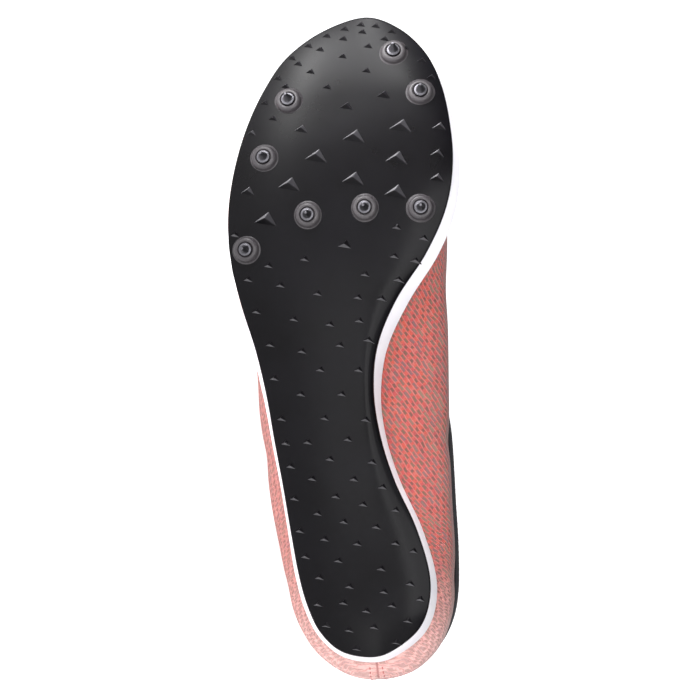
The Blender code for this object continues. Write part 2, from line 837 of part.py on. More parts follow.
def make_tongue(parts):
    """Padded strip under the throat, following the crown a wall and a clearance below it."""
    drop = UPPER_WALL + TONGUE_CLEARANCE
    stations = np.linspace(TONGUE_TOP, TONGUE_TOE, TONGUE_STEPS)
    points = []
    for row, station in enumerate(stations):
        x = station * SOLE_LENGTH
        half = throat_half(min(x, THROAT_TOE * SOLE_LENGTH)) + TONGUE_UNDERLAP
        if row < len(TONGUE_TOP_ROUNDING):
            half *= TONGUE_TOP_ROUNDING[row]
        points += [saddle(x, share * half, drop) for share in TONGUE_ACROSS]
    faces = grid_faces(TONGUE_STEPS, len(TONGUE_ACROSS), False)
    mesh = mesh_of("tongue", points, faces, material("tongue"))
    item = new_object("tongue", mesh, parts)
    add_wall(item, TONGUE_THICK, -1.0)
    return item


def eyelet(pair, side):
    """Station and place across of an eyelet, counted from the toe end."""
    share = (pair + 0.5) / EYELET_PAIRS
    x = (THROAT_TOE + (THROAT_TOP - THROAT_TOE) * share) * SOLE_LENGTH
    return x, side * (throat_half(x) + EYELET_EDGE)


def ribbon(name, start, end, lift, group, finish):
    """One flat length of lace between two eyelets, over the eyestay and the tongue."""
    rise = OVERLAY_CLEARANCE + OVERLAY_THICK + LACE_CLEARANCE + lift
    line = []
    for k in range(RIBBON_STEPS + 1):
        share = k / RIBBON_STEPS
        x = start[0] + (end[0] - start[0]) * share
        y = start[1] + (end[1] - start[1]) * share
        line.append((x, y))
    heading = np.array((end[0] - start[0], end[1] - start[1]))
    heading = heading / np.hypot(*heading)
    side = np.array((-heading[1], heading[0])) * 0.5 * LACE_WIDTH
    points = []
    for x, y in line:
        for level in (rise, rise + LACE_THICK):
            for edge in (-1, 1):
                points.append(saddle(x + edge * side[0], y + edge * side[1], -level))
    faces = [(0, 1, 3, 2), tuple(4 * RIBBON_STEPS + i for i in (2, 3, 1, 0))]
    for k in range(RIBBON_STEPS):
        a = 4 * k
        b = a + 4
        faces += [(a, b, b + 1, a + 1), (a + 1, b + 1, b + 3, a + 3),
                  (a + 3, b + 3, b + 2, a + 2), (a + 2, b + 2, b, a)]
    return new_object(name, mesh_of(name, points, faces, finish, smooth=False), group)


def make_lace(parts, forms):
    """The lace over the throat: a bar at the toe end, then crossings up to the top pair."""
    finish = material("lace")
    lace = ribbon("lace", eyelet(0, -1), eyelet(0, 1), 0.0, parts, finish)
    for pair in range(EYELET_PAIRS - 1):
        for side in (-1, 1):
            lift = LACE_THICK * LACE_LAYERS[side]
            length = ribbon(f"lace_form_{pair}_{side + 1}", eyelet(pair, side),
                            eyelet(pair + 1, -side), lift, forms, finish)
            add_union(lace, length)
    return lace


def evaluated_mesh(item):
    """Points and triangles of an object as its modifiers leave it."""
    graph = bpy.context.evaluated_depsgraph_get()
    done = item.evaluated_get(graph)
    mesh = done.to_mesh()
    mesh.calc_loop_triangles()
    points = np.array([item.matrix_world @ v.co for v in mesh.vertices])
    triangles = np.array([t.vertices[:] for t in mesh.loop_triangles])
    done.to_mesh_clear()
    return points, triangles


def weigh(items):
    """Centre of mass of the shoe and every point of it."""
    total = 0.0
    moment = np.zeros(3)
    cloud = []
    for item in items:
        points, triangles = evaluated_mesh(item)
        density = DENSITIES["spike" if item.name.startswith("spike") else item.name]
        a, b, c = (points[triangles[:, k]] for k in range(3))
        volumes = np.einsum("ij,ij->i", a, np.cross(b, c)) / 6 * density
        total += volumes.sum()
        moment += ((a + b + c) / 4 * volumes[:, None]).sum(axis=0)
        cloud.append(points)
    return moment / total, np.vstack(cloud)


def resting_face(centre, cloud):
    """Outward direction of the hull's face on the outer side that holds the shoe's weight best."""
    hull = bmesh.new()
    for point in cloud:
        hull.verts.new(point)
    result = bmesh.ops.convex_hull(hull, input=hull.verts)
    centre = Vector(centre)
    middle = Vector(cloud.mean(axis=0))
    best = None
    for face in (f for f in result["geom"] if isinstance(f, bmesh.types.BMFace)):
        normal = face.normal if (face.verts[0].co - middle).dot(face.normal) > 0 else -face.normal
        if normal.y > -0.7:
            continue
        foot = centre + normal * (face.verts[0].co - centre).dot(normal)
        corners = [v.co for v in face.verts]
        heart = face.calc_center_median()
        margins = []
        for i, corner in enumerate(corners):
            inward = normal.cross(corners[(i + 1) % len(corners)] - corner).normalized()
            if inward.dot(heart - corner) < 0:
                inward = -inward
            margins.append((foot - corner).dot(inward))
        if best is None or min(margins) > best[0]:
            best = (min(margins), normal.copy())
    hull.free()
    return best[1]


def lay_down(items, forms):
    """Rest the shoe on its outer side, sole facing -Y, toe towards -X, above the origin."""
    bpy.context.view_layer.update()
    centre, cloud = weigh(items)
    down = resting_face(centre, cloud)
    up = -down
    toe = Vector((1, 0, 0))
    toe = (toe - up * toe.dot(up)).normalized()
    turn = Matrix((-toe, up.cross(-toe), up)).to_4x4()
    turned_cloud = np.array([turn @ Vector(p) for p in cloud])
    low = turned_cloud.min(axis=0)
    high = turned_cloud.max(axis=0)
    place = Matrix.Translation((-(low[0] + high[0]) / 2, -(low[1] + high[1]) / 2, -low[2]))
    rest = bpy.data.objects.new("rest_pose", None)
    items[0].users_collection[0].objects.link(rest)
    for item in items + forms:
        item.parent = rest
    rest.matrix_world = place @ turn
    bpy.context.view_layer.update()


def collection(name):
    group = bpy.data.collections.new(name)
    bpy.context.scene.collection.children.link(group)
    return group


def main():
    for item in list(bpy.data.objects):
        bpy.data.objects.remove(item)
    parts = collection("track_spike_shoe")
    forms = collection("forms")
    items = [make_plate(parts, forms), make_midsole(parts), make_insole(parts), make_upper(parts),
             make_eyestay(parts), make_collar_band(parts), make_tongue(parts),
             make_lace(parts, forms)]
    items += make_spikes(parts)
    for form in forms.objects:
        form.hide_render = True
        form.display_type = "WIRE"
    lay_down(items, list(forms.objects))


main()
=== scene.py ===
import math
from functools import lru_cache

import bmesh
import bpy
import numpy as np
from mathutils import Matrix, Vector


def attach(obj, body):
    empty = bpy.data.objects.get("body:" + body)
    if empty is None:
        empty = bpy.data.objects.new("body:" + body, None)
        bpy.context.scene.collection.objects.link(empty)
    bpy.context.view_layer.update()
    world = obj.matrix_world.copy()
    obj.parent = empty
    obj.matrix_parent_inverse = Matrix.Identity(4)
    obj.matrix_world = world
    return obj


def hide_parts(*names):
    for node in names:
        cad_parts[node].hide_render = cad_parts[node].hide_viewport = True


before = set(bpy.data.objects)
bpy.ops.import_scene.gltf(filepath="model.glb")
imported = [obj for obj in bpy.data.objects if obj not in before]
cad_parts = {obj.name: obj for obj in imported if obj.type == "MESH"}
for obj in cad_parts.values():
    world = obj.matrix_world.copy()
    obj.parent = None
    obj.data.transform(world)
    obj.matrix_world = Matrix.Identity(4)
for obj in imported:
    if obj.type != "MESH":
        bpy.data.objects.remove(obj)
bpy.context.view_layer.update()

# The looks of a track spike shoe for the right foot. Every new piece is modelled in the shoe's own frame,
# sole down: x from the heel tip of the plate to the toe, +y the inner (arch) side, +z up, in metres.
# The frame's spikes say where the shoe lies, and each finished mesh is carried there.

MM = 0.001

# Driving sizes of the shoe, as in the solids
SOLE_LENGTH = 0.268
BALL_WIDTH = 0.0913
HEEL_HEIGHT = 0.079
INSTEP_HEIGHT = 0.088
GIRTH_HEIGHT = 0.027
TOE_SPRING = 0.024
HEEL_OVERHANG = 0.0092
TOE_INSET = 0.003

PLATE_THICK = 0.0018
PLATE_ROLL = 0.0025
FOAM_HEEL = 0.010
FOAM_STEP = 0.005
FOAM_TUCK = 0.0003
INSOLE_THICK = 0.003
INSOLE_CLEARANCE = 0.0012

UPPER_WALL = 0.0020
FEATHER_INSET = 0.0014
OVERLAY_THICK = 0.0009
OVERLAY_CLEARANCE = 0.0008
COLLAR_BAND_WIDTH = 0.010
EYESTAY_WIDTH = 0.014
EYESTAY_TOE_REACH = 0.020
THROAT_TOP_WIDTH = 0.028
THROAT_TOE_WIDTH = 0.016
TONGUE_THICK = 0.0035
TONGUE_UNDERLAP = 0.008
TONGUE_CLEARANCE = 0.0013

LACE_WIDTH = 0.0055
LACE_THICK = 0.0012
LACE_CLEARANCE = 0.0008
EYELET_PAIRS = 6
EYELET_EDGE = 0.006

BOSS_RADIUS = 0.0054
BOSS_TOP_RADIUS = 0.0038
BOSS_HEIGHT = 0.0024
SEAT_RADIUS = 0.0032
SEAT_DEPTH = 0.0008
SPIKE_FLANGE_RADIUS = 0.0027
SPIKE_FLANGE_THICK = 0.0010
SPIKE_CONE_RADIUS = 0.0018
SPIKE_TIP_RADIUS = 0.0006
SPIKE_LENGTH = 0.0062
LUG_ROOT = 0.0006
GAP = 0.0003

SPINE_HEEL = 0.113
SPINE_TOE = 0.860
THROAT_TOP = 0.443
THROAT_TOE = 0.680
THROAT_CLOSED = 0.693
TONGUE_TOP = 0.369
TONGUE_TOE = 0.734
FAN_STEPS = 6
QUARTER_STEPS = 7
THROAT_STEPS = 6
VAMP_STEPS = 3

SIDE_FLARE = 0.40
SIDE_LIFT = 0.30
SIDE_DROP = 0.50
CROWN_LIFT = 0.55
CROWN_SPREAD = 0.55

OUTLINES = (
    # station, plate_outer, plate_inner, girth_outer, girth_inner
    (0.01, 0.123, 0.114, 0.130, 0.163),
    (0.04, 0.215, 0.230, 0.253, 0.275),
    (0.08, 0.268, 0.284, 0.330, 0.341),
    (0.13, 0.305, 0.289, 0.380, 0.372),
    (0.20, 0.337, 0.233, 0.415, 0.378),
    (0.27, 0.367, 0.145, 0.450, 0.372),
    (0.34, 0.401, 0.085, 0.472, 0.370),
    (0.41, 0.432, 0.060, 0.494, 0.372),
    (0.48, 0.475, 0.084, 0.500, 0.378),
    (0.55, 0.533, 0.176, 0.537, 0.384),
    (0.62, 0.575, 0.319, 0.574, 0.390),
    (0.69, 0.581, 0.416, 0.586, 0.399),
    (0.76, 0.551, 0.450, 0.564, 0.410),
    (0.83, 0.492, 0.435, 0.501, 0.403),
    (0.89, 0.412, 0.394, 0.397, 0.366),
    (0.94, 0.311, 0.322, 0.303, 0.299),
    (0.98, 0.148, 0.202, 0.159, 0.193),
)
HEEL_TIP_OUT = 0.012
TOE_TIP_OUT = 0.047

HEIGHTS = (
    # station, spring, foam, step_outer, step_inner, girth, crown
    (0.00, 0.17, 1.00, 0.40, 0.40, 0.95, 1.25),
    (0.06, 0.05, 1.00, 0.50, 0.40, 0.98, 1.25),
    (0.13, 0.01, 0.98, 0.50, 0.32, 1.00, 1.24),
    (0.24, 0.02, 0.92, 0.40, 0.30, 1.00, 1.21),
    (0.36, 0.08, 0.79, 0.40, 0.31, 1.00, 1.12),
    (0.46, 0.08, 0.65, 0.41, 0.63, 0.97, 0.96),
    (0.55, 0.03, 0.55, 0.12, 1.00, 0.95, 0.82),
    (0.63, 0.00, 0.47, 0.03, 0.93, 0.91, 0.68),
    (0.71, 0.04, 0.41, 0.03, 0.67, 0.85, 0.57),
    (0.79, 0.20, 0.35, 0.02, 0.39, 0.77, 0.47),
    (0.87, 0.47, 0.26, -0.01, 0.13, 0.62, 0.39),
    (0.94, 0.75, 0.24, -0.11, -0.06, 0.56, 0.36),
    (1.00, 1.00, 0.22, -0.15, -0.15, 0.50, 0.34),
)

COLLAR = (
    # station, edge
    (-0.030, 1.000), (0.020, 0.950), (0.080, 0.838), (0.160, 0.774),
    (0.250, 0.766), (0.330, 0.826), (0.390, 0.932), (0.450, 1.060),
)

BOSSES = (
    # station, out
    (0.939, 0.181), (0.873, 0.305), (0.867, -0.298), (0.777, -0.409),
    (0.685, -0.212), (0.693, 0.049), (0.690, 0.302), (0.635, -0.498),
)

# reach and height
LUG_SIZES = {"small": (0.0021, 0.0013), "middle": (0.0031, 0.0019), "large": (0.0050, 0.0028)}
LUG_CORNERS = ((-0.28, -0.93), (0.57, 0.31), (-0.66, 0.94))

# The toe's small lugs, one by one, then slanting rows and the larger lugs
TOE_LUGS = (
    # station, out
    (0.988, 0.027), (0.985, 0.095), (0.982, -0.047), (0.976, 0.035),
    (0.975, 0.170), (0.972, -0.129), (0.966, -0.052), (0.963, 0.137),
    (0.957, -0.213), (0.950, -0.158), (0.952, 0.063), (0.947, 0.232),
    (0.938, -0.289), (0.937, -0.053), (0.928, -0.259), (0.926, 0.310),
    (0.914, -0.200), (0.912, 0.057), (0.906, -0.353), (0.892, -0.316),
    (0.888, -0.123), (0.898, 0.353), (0.867, -0.412), (0.841, -0.372),
    (0.819, -0.470),
)
LUG_ROWS = (
    # station_a, out_a, station_b, out_b, count
    (0.015, -0.053, 0.112, 0.202, 4),
    (0.023, 0.126, 0.088, 0.244, 3),
    (0.044, -0.082, 0.101, 0.083, 3),
    (0.052, -0.185, 0.086, -0.102, 2),
    (0.085, -0.219, 0.162, 0.221, 4),
    (0.126, -0.208, 0.226, 0.146, 5),
    (0.175, 0.142, 0.175, 0.142, 1),
    (0.159, -0.269, 0.262, 0.090, 5),
    (0.199, -0.292, 0.301, 0.046, 5),
    (0.249, -0.312, 0.367, 0.021, 5),
    (0.299, -0.326, 0.444, -0.004, 5),
    (0.335, -0.347, 0.335, -0.347, 1),
    (0.373, -0.363, 0.520, 0.007, 5),
    (0.436, -0.391, 0.556, 0.004, 4),
    (0.488, -0.404, 0.564, -0.179, 3),
    (0.490, 0.044, 0.490, 0.044, 1),
    (0.553, 0.110, 0.610, 0.269, 3),
    (0.540, -0.462, 0.618, -0.233, 3),
    (0.590, -0.496, 0.610, -0.400, 2),
    (0.591, 0.040, 0.644, 0.310, 3),
    (0.660, -0.550, 0.660, -0.550, 1),
    (0.662, 0.190, 0.662, 0.190, 1),
)

BIG_LUGS = (
    # station, out, size
    (0.872, 0.136, "middle"),
    (0.856, -0.034, "middle"),
    (0.822, -0.241, "middle"),
    (0.818, 0.389, "middle"),
    (0.821, 0.213, "large"),
    (0.807, 0.000, "large"),
    (0.778, -0.173, "large"),
    (0.775, 0.379, "middle"),
    (0.770, 0.194, "large"),
    (0.740, -0.005, "large"),
    (0.737, 0.376, "middle"),
    (0.735, -0.298, "large"),
    (0.727, -0.488, "middle"),
    (0.717, 0.187, "large"),
    (0.682, -0.408, "large"),
    (0.638, -0.049, "middle"),
)

# Steps of the fine surfaces: between two of the solids' rays, and up the wall
RAY_SPLIT = 7
BED_ROWS = 26
SIDE_ROWS = 22
CROWN_ROWS = 60


# Shape of the foot, as in the solids


def along(table, index, share):
    """Read a table's column at any station, smoothly (cubic Hermite through the rows)."""
    xs = [row[0] for row in table]
    ys = [row[index] for row in table]
    if share <= xs[0]:
        return ys[0]
    if share >= xs[-1]:
        return ys[-1]
    k = max(i for i in range(len(xs) - 1) if xs[i] <= share)

    def slope(i):
        a = max(i - 1, 0)
        b = min(i + 1, len(xs) - 1)
        return (ys[b] - ys[a]) / (xs[b] - xs[a])

    h = xs[k + 1] - xs[k]
    t = (share - xs[k]) / h
    return (
        (2 * t**3 - 3 * t**2 + 1) * ys[k]
        + (t**3 - 2 * t**2 + t) * h * slope(k)
        + (3 * t**2 - 2 * t**3) * ys[k + 1]
        + (t**3 - t**2) * h * slope(k + 1)
    )


def closed_curve(points, steps=8):
    """A closed Catmull-Rom curve through the points, as a polyline."""
    points = np.array(points)
    count = len(points)
    curve = []
    for i in range(count):
        a, b, c, d = (points[(i + k) % count] for k in (-1, 0, 1, 2))
        for step in range(steps):
            t = step / steps
            curve.append(
                0.5 * (2 * b + (c - a) * t + (2 * a - 5 * b + 4 * c - d) * t**2
                       + (3 * b - a - 3 * c + d) * t**3)
            )
    return np.array(curve)


def outline(start, length, outer, inner):
    """Closed outline on the ground: heel tip, outer side, toe tip, inner side back."""
    points = [(start, HEEL_TIP_OUT * BALL_WIDTH)]
    points += [(start + row[0] * length, -row[outer] * BALL_WIDTH) for row in OUTLINES]
    points += [(start + length, TOE_TIP_OUT * BALL_WIDTH)]
    points += [(start + row[0] * length, row[inner] * BALL_WIDTH) for row in reversed(OUTLINES)]
    return closed_curve(points)


PLATE_OUTLINE = outline(0.0, SOLE_LENGTH, 1, 2)
GIRTH_OUTLINE = outline(-HEEL_OVERHANG, SOLE_LENGTH + HEEL_OVERHANG - TOE_INSET, 3, 4)


def reach(curve, foot, direction):
    """Distance from a spine point, along a direction, to a closed outline."""
    start = curve - np.array(foot)
    end = np.roll(start, -1, axis=0)
    side_start = start[:, 0] * direction[1] - start[:, 1] * direction[0]
    side_end = end[:, 0] * direction[1] - end[:, 1] * direction[0]
    best = 0.0
    for i in np.nonzero((side_start <= 0) != (side_end <= 0))[0]:
        share = side_start[i] / (side_start[i] - side_end[i])
        point = start[i] + share * (end[i] - start[i])
        best = max(best, point @ np.array(direction))
    return best


def rays():
    """Directions round the foot from its spine: heel, outer side, toe, inner side and back."""
    heel = SPINE_HEEL * SOLE_LENGTH
    toe = SPINE_TOE * SOLE_LENGTH
    stations = list(np.linspace(heel, THROAT_TOP * SOLE_LENGTH, QUARTER_STEPS + 1))
    stations += list(np.linspace(THROAT_TOP, THROAT_TOE, THROAT_STEPS + 1)[1:] * SOLE_LENGTH)
    stations += list(np.linspace(THROAT_CLOSED * SOLE_LENGTH, toe, VAMP_STEPS + 1))
    fan = [math.radians(90 * k / FAN_STEPS) for k in range(FAN_STEPS)]
    outer = [((heel, 0.0), (-math.cos(a), -math.sin(a))) for a in fan]
    outer += [((x, 0.0), (0.0, -1.0)) for x in stations]
    outer += [((toe, 0.0), (math.sin(a), -math.cos(a))) for a in fan[1:]]
    tip = [((toe, 0.0), (1.0, 0.0))]
    inner = [(foot, (direction[0], -direction[1])) for foot, direction in reversed(outer[1:])]
    return outer + tip + inner


RAYS = rays()
RAY_STEPS = len(RAYS) * RAY_SPLIT


@lru_cache(maxsize=None)
def ray_at(step):
    """Fine ray: a step between two of the solids' rays."""
    whole, part = divmod(step % RAY_STEPS, RAY_SPLIT)
    share = part / RAY_SPLIT
    (ax, _), a = RAYS[whole]
    (bx, _), b = RAYS[(whole + 1) % len(RAYS)]
    direction = np.array(a) * (1 - share) + np.array(b) * share
    direction /= np.hypot(*direction)
    return (ax * (1 - share) + bx * share, 0.0), (float(direction[0]), float(direction[1]))


def at(ray, distance):
    """Ground point at a distance from the spine along a ray."""
    foot, direction = ray
    return foot[0] + direction[0] * distance, foot[1] + direction[1] * distance


@lru_cache(maxsize=None)
def plate_reach(ray):
    return reach(PLATE_OUTLINE, *ray)


def spring(x):
    """Height of the plate's underside on the spine: heel bevel, arch and toe spring."""
    return TOE_SPRING * along(HEIGHTS, 1, x / SOLE_LENGTH)


def foam(x):
    """Thickness of the midsole."""
    return FOAM_HEEL * along(HEIGHTS, 2, x / SOLE_LENGTH)


def rolled(share):
    """Rise of the rolled edge at a share of the way from spine to plate edge."""
    return PLATE_ROLL * min(share, 1.0) ** 4


@lru_cache(maxsize=None)
def foam_reach(ray):
    """Distance to the midsole's upper edge, which steps out past the plate."""
    edge = plate_reach(ray)
    x = at(ray, edge)[0]
    inner = 0.5 + 0.5 * ray[1][1]
    step = (1 - inner) * along(HEIGHTS, 3, x / SOLE_LENGTH) + inner * along(HEIGHTS, 4, x / SOLE_LENGTH)
    return edge + FOAM_STEP * step


def bezier(a, b, c, d, t):
    """Point on a cubic Bezier."""
    return (1 - t) ** 3 * a + 3 * (1 - t) ** 2 * t * b + 3 * (1 - t) * t**2 * c + t**3 * d


@lru_cache(maxsize=None)
def feather(ray):
    """Lowest edge of the upper, on top of the midsole: distance and height."""
    distance = foam_reach(ray) - FEATHER_INSET
    x = at(ray, distance)[0]
    return np.array((distance, spring(x) + rolled(1.0) + PLATE_THICK + foam(x) + 2 * GAP))


@lru_cache(maxsize=None)
def girth(ray):
    """Widest line of the upper: distance and height."""
    distance = reach(GIRTH_OUTLINE, *ray)
    x = at(ray, distance)[0]
    return np.array((distance, spring(x) + GIRTH_HEIGHT * along(HEIGHTS, 5, x / SOLE_LENGTH)))


@lru_cache(maxsize=None)
def crown(ray):
    """Top of the closed section over the spine. It is virtual where the shoe is open."""
    x = ray[0][0]
    return np.array((0.0, spring(x) + INSTEP_HEIGHT * along(HEIGHTS, 6, x / SOLE_LENGTH)))


def side_section(ray, t):
    """Section from the feather edge (0) to the girth (1)."""
    low = feather(ray)
    high = girth(ray)
    out = max(high[0] - low[0], 0.0)
    rise = high[1] - low[1]
    return bezier(low, low + (SIDE_FLARE * out, SIDE_LIFT * rise), high - (0.0, SIDE_DROP * rise), high, t)


def crown_section(ray, t):
    """Section from the girth (0) to the crown on the spine (1)."""
    low = girth(ray)
    top = crown(ray)
    lift = CROWN_LIFT * (top[1] - low[1])
    return bezier(low, low + (0.0, lift), top + (CROWN_SPREAD * low[0], 0.0), top, t)


def solve(function, goal):
    """Parameter between 0 and 1 at which a rising function meets its goal."""
    if function(1.0) <= goal:
        return 1.0
    low, high = 0.0, 1.0
    for _ in range(24):
        middle = 0.5 * (low + high)
        if function(middle) < goal:
            low = middle
        else:
            high = middle
    return 0.5 * (low + high)


def throat_half(x):
    """Half width of the throat at a station, nothing where the vamp is closed."""
    share = (x / SOLE_LENGTH - THROAT_TOP) / (THROAT_TOE - THROAT_TOP)
    if share > 1.0001:
        return 0.0
    return 0.5 * (THROAT_TOP_WIDTH + (THROAT_TOE_WIDTH - THROAT_TOP_WIDTH) * max(share, 0.0))


@lru_cache(maxsize=None)
def across(ray, half):
    """Parameter of the crown section at a given distance from the spine."""
    return solve(lambda t: -crown_section(ray, t)[0], -half)


@lru_cache(maxsize=None)
def edge_parameter(ray, drop=0.0):
    """Where the crown section ends: at the ankle opening, at the throat or on the ridge."""
    x = ray[0][0]
    if x > THROAT_TOP * SOLE_LENGTH + 1e-6:
        return across(ray, throat_half(x))
    station = at(ray, girth(ray)[0])[0] / SOLE_LENGTH
    height = HEEL_HEIGHT * along(COLLAR, 1, station) - drop
    return solve(lambda t: crown_section(ray, t)[1], height)


def stand(ray, section):
    """Turn a section point into a point of the shoe."""
    x, y = at(ray, section[0])
    return Vector((x, y, section[1]))


def plate_low(x, share):
    return spring(x) + rolled(share)


def foam_low(x, share):
    return plate_low(x, share) + PLATE_THICK + GAP


def insole_low(x, share):
    return foam_low(x, share) + foam(x) + GAP


def insole_edge(ray):
    return feather(ray)[0] - UPPER_WALL - INSOLE_CLEARANCE


def plate_point(station, out):
    """Point on the plate's underside and the direction that stands out of it there."""
    x = station * SOLE_LENGTH
    y = out * BALL_WIDTH
    foot_x = min(max(x, SPINE_HEEL * SOLE_LENGTH), SPINE_TOE * SOLE_LENGTH)
    offset = np.array((x - foot_x, y))
    distance = float(np.hypot(*offset))
    direction = offset / distance if distance > 1e-9 else np.array((0.0, 1.0))
    ray = ((foot_x, 0.0), tuple(direction))
    share = distance / plate_reach(ray)
    slope_x = (spring(x + MM) - spring(x - MM)) / (2 * MM)
    slope_r = 4 * PLATE_ROLL * min(share, 1.0) ** 3 / plate_reach(ray)
    normal = Vector((slope_x + slope_r * direction[0], slope_r * direction[1], -1.0)).normalized()
    return Vector((x, y, plate_low(x, share))), normal


def standing(point, normal):
    """Frame on the plate: z out of the sole, x along the foot, y across it."""
    along_foot = (Vector((1, 0, 0)) - normal * normal.x).normalized()
    side = normal.cross(along_foot)
    turn = Matrix((along_foot, side, normal)).transposed().to_4x4()
    return Matrix.Translation(point) @ turn


def lug_places():
    """Every lug as (station, out, size name)."""
    places = [(station, out, "small") for station, out in TOE_LUGS]
    for station_a, out_a, station_b, out_b, count in LUG_ROWS:
        for k in range(count):
            share = k / max(count - 1, 1)
            places.append((station_a + share * (station_b - station_a),
                           out_a + share * (out_b - out_a), "small"))
    return places + list(BIG_LUGS)


def crown_height(x, y):
    """Height of the crown surface over a point of the straight part of the foot."""
    ray = ((x, 0.0), (0.0, 1.0 if y >= 0 else -1.0))
    return crown_section(ray, across(ray, abs(y)))[1]


def saddle(x, y, drop):
    """Point over the instep at a station and place across, sunk square below the crown."""
    slope_x = (crown_height(x + MM, y) - crown_height(x - MM, y)) / (2 * MM)
    slope_y = (crown_height(x, y + MM) - crown_height(x, y - MM)) / (2 * MM)
    normal = Vector((-slope_x, -slope_y, 1.0)).normalized()
    return Vector((x, y, crown_height(x, y))) - normal * drop


def eyelet(pair, side):
    """Station and place across of an eyelet, counted from the toe end."""
    share = (pair + 0.5) / EYELET_PAIRS
    x = (THROAT_TOE + (THROAT_TOP - THROAT_TOE) * share) * SOLE_LENGTH
    return x, side * (throat_half(x) + EYELET_EDGE)


# Where the shoe lies in the frame


def resting_place():
    """Transform from the shoe's own frame to the frame's, from the places of its eight spikes."""
    own = []
    laid = []
    middle = BOSS_HEIGHT - SEAT_DEPTH + GAP + 0.5 * SPIKE_LENGTH
    for number, (station, out) in enumerate(BOSSES, 1):
        point, normal = plate_point(station, out)
        own.append(point + normal * middle)
        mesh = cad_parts[f"spike_{number}"].data
        corners = np.array([v.co for v in mesh.vertices])
        centre = corners.mean(axis=0)
        axis = np.linalg.svd(corners - centre)[2][0]
        ends = (corners - centre) @ axis
        laid.append(centre + axis * 0.5 * (ends.min() + ends.max()))
    own = np.array(own)
    laid = np.array(laid)
    u, _, vt = np.linalg.svd((own - own.mean(0)).T @ (laid - laid.mean(0)))
    turn = vt.T @ np.diag((1, 1, np.sign(np.linalg.det(vt.T @ u.T)))) @ u.T
    shift = laid.mean(0) - turn @ own.mean(0)
    place = Matrix(turn.tolist()).to_4x4()
    place.translation = shift.tolist()
    return place


REST = resting_place()


# Materials


def linear(code):
    """An sRGB hex colour as the linear colour that a shader takes."""
    levels = [int(code[i:i + 2], 16) / 255 for i in (1, 3, 5)]
    return (*[v / 12.92 if v <= 0.04045 else ((v + 0.055) / 1.055) ** 2.4 for v in levels], 1.0)


def feed(made, output, name):
    """Link an output to a socket of the material's own shader."""
    made.node_tree.links.new(output, made.node_tree.nodes["Principled BSDF"].inputs[name])


def node(made, kind, *inputs, out=0, stops=(), to=None, **settings):
    """Add a node with its settings and links, and give back one of its outputs.

    Inputs fill the sockets in order, or by name or number in a dictionary. A second word in the kind is
    the operation, stops are a colour ramp's places and hex colours, and to names a socket of the shader.
    """
    kind, _, operation = kind.partition(" ")
    item = made.node_tree.nodes.new("ShaderNode" + kind)
    if operation:
        item.operation = operation
    for key, value in settings.items():
        setattr(item, key, value)
    if stops:
        elements = item.color_ramp.elements
        while len(elements) < len(stops):
            elements.new(0.5)
        for element, (place, code) in zip(elements, stops):
            element.position = place
            element.color = linear(code)
    named = inputs[0] if inputs and isinstance(inputs[0], dict) else dict(enumerate(inputs))
    for key, value in named.items():
        if isinstance(value, bpy.types.NodeSocket):
            made.node_tree.links.new(value, item.inputs[key])
        else:
            item.inputs[key].default_value = value
    if to:
        feed(made, item.outputs[out], to)
    return item.outputs[out]


def finish(name, roughness, metallic=0.0, **sockets):
    """A principled material with its even values set on the shader itself."""
    made = bpy.data.materials.new(name)
    made.use_nodes = True
    shader = made.node_tree.nodes["Principled BSDF"]
    shader.inputs["Roughness"].default_value = roughness
    shader.inputs["Metallic"].default_value = metallic
    for key, value in sockets.items():
        shader.inputs[key.replace("_", " ")].default_value = value
    return made


# Object coordinates are metres, so this scale makes a pattern's own scale one over millimetres
TO_MM = 1000.0
RGB_MIX = {"data_type": "RGBA", "out": 2}
SMOOTH = {"interpolation_type": "SMOOTHSTEP"}


def object_place(made, scale=TO_MM):
    """Object coordinates, in one over a length."""
    source = node(made, "TexCoord", out="Object")
    return node(made, "Mapping", {"Vector": source, "Scale": (scale, scale, scale)})


def shoe_place(made):
    """Place on the shoe in millimetres: along, across and up, from the piece's own attribute."""
    source = node(made, "Attribute", attribute_name="shoe_mm", out="Vector")
    along_shoe, across_shoe, up_shoe = node(made, "SeparateXYZ", source).node.outputs
    return source, along_shoe, across_shoe, up_shoe


def surface_place(made):
    """Place on the laid-out surface in millimetres: round the foot and up the wall."""
    source = node(made, "UVMap", uv_map="surface_mm")
    u, v, _ = node(made, "SeparateXYZ", source).node.outputs
    return u, v


def moulded_nylon(name, level, grain_depth, rough, low, high):
    """Injection-moulded black nylon: semi-gloss, with a fine spark-eroded skin and faint flow marks."""
    made = finish(name, rough, IOR=1.5, Specular_IOR_Level=level)
    place = object_place(made)
    grain = node(made, "TexNoise", {"Vector": place, "Scale": 2.2, "Detail": 3.0, "Roughness": 0.6})
    broad = node(made, "TexNoise", {"Vector": place, "Scale": 0.035, "Detail": 4.0, "Roughness": 0.55})
    node(made, "ValToRGB", broad, stops=((0.35, low), (0.62, high)), to="Base Color")
    node(made, "Math MULTIPLY_ADD", broad, 0.10, rough, to="Roughness")
    node(made, "Bump", {"Strength": 0.25, "Distance": grain_depth, "Height": grain}, to="Normal")
    return made


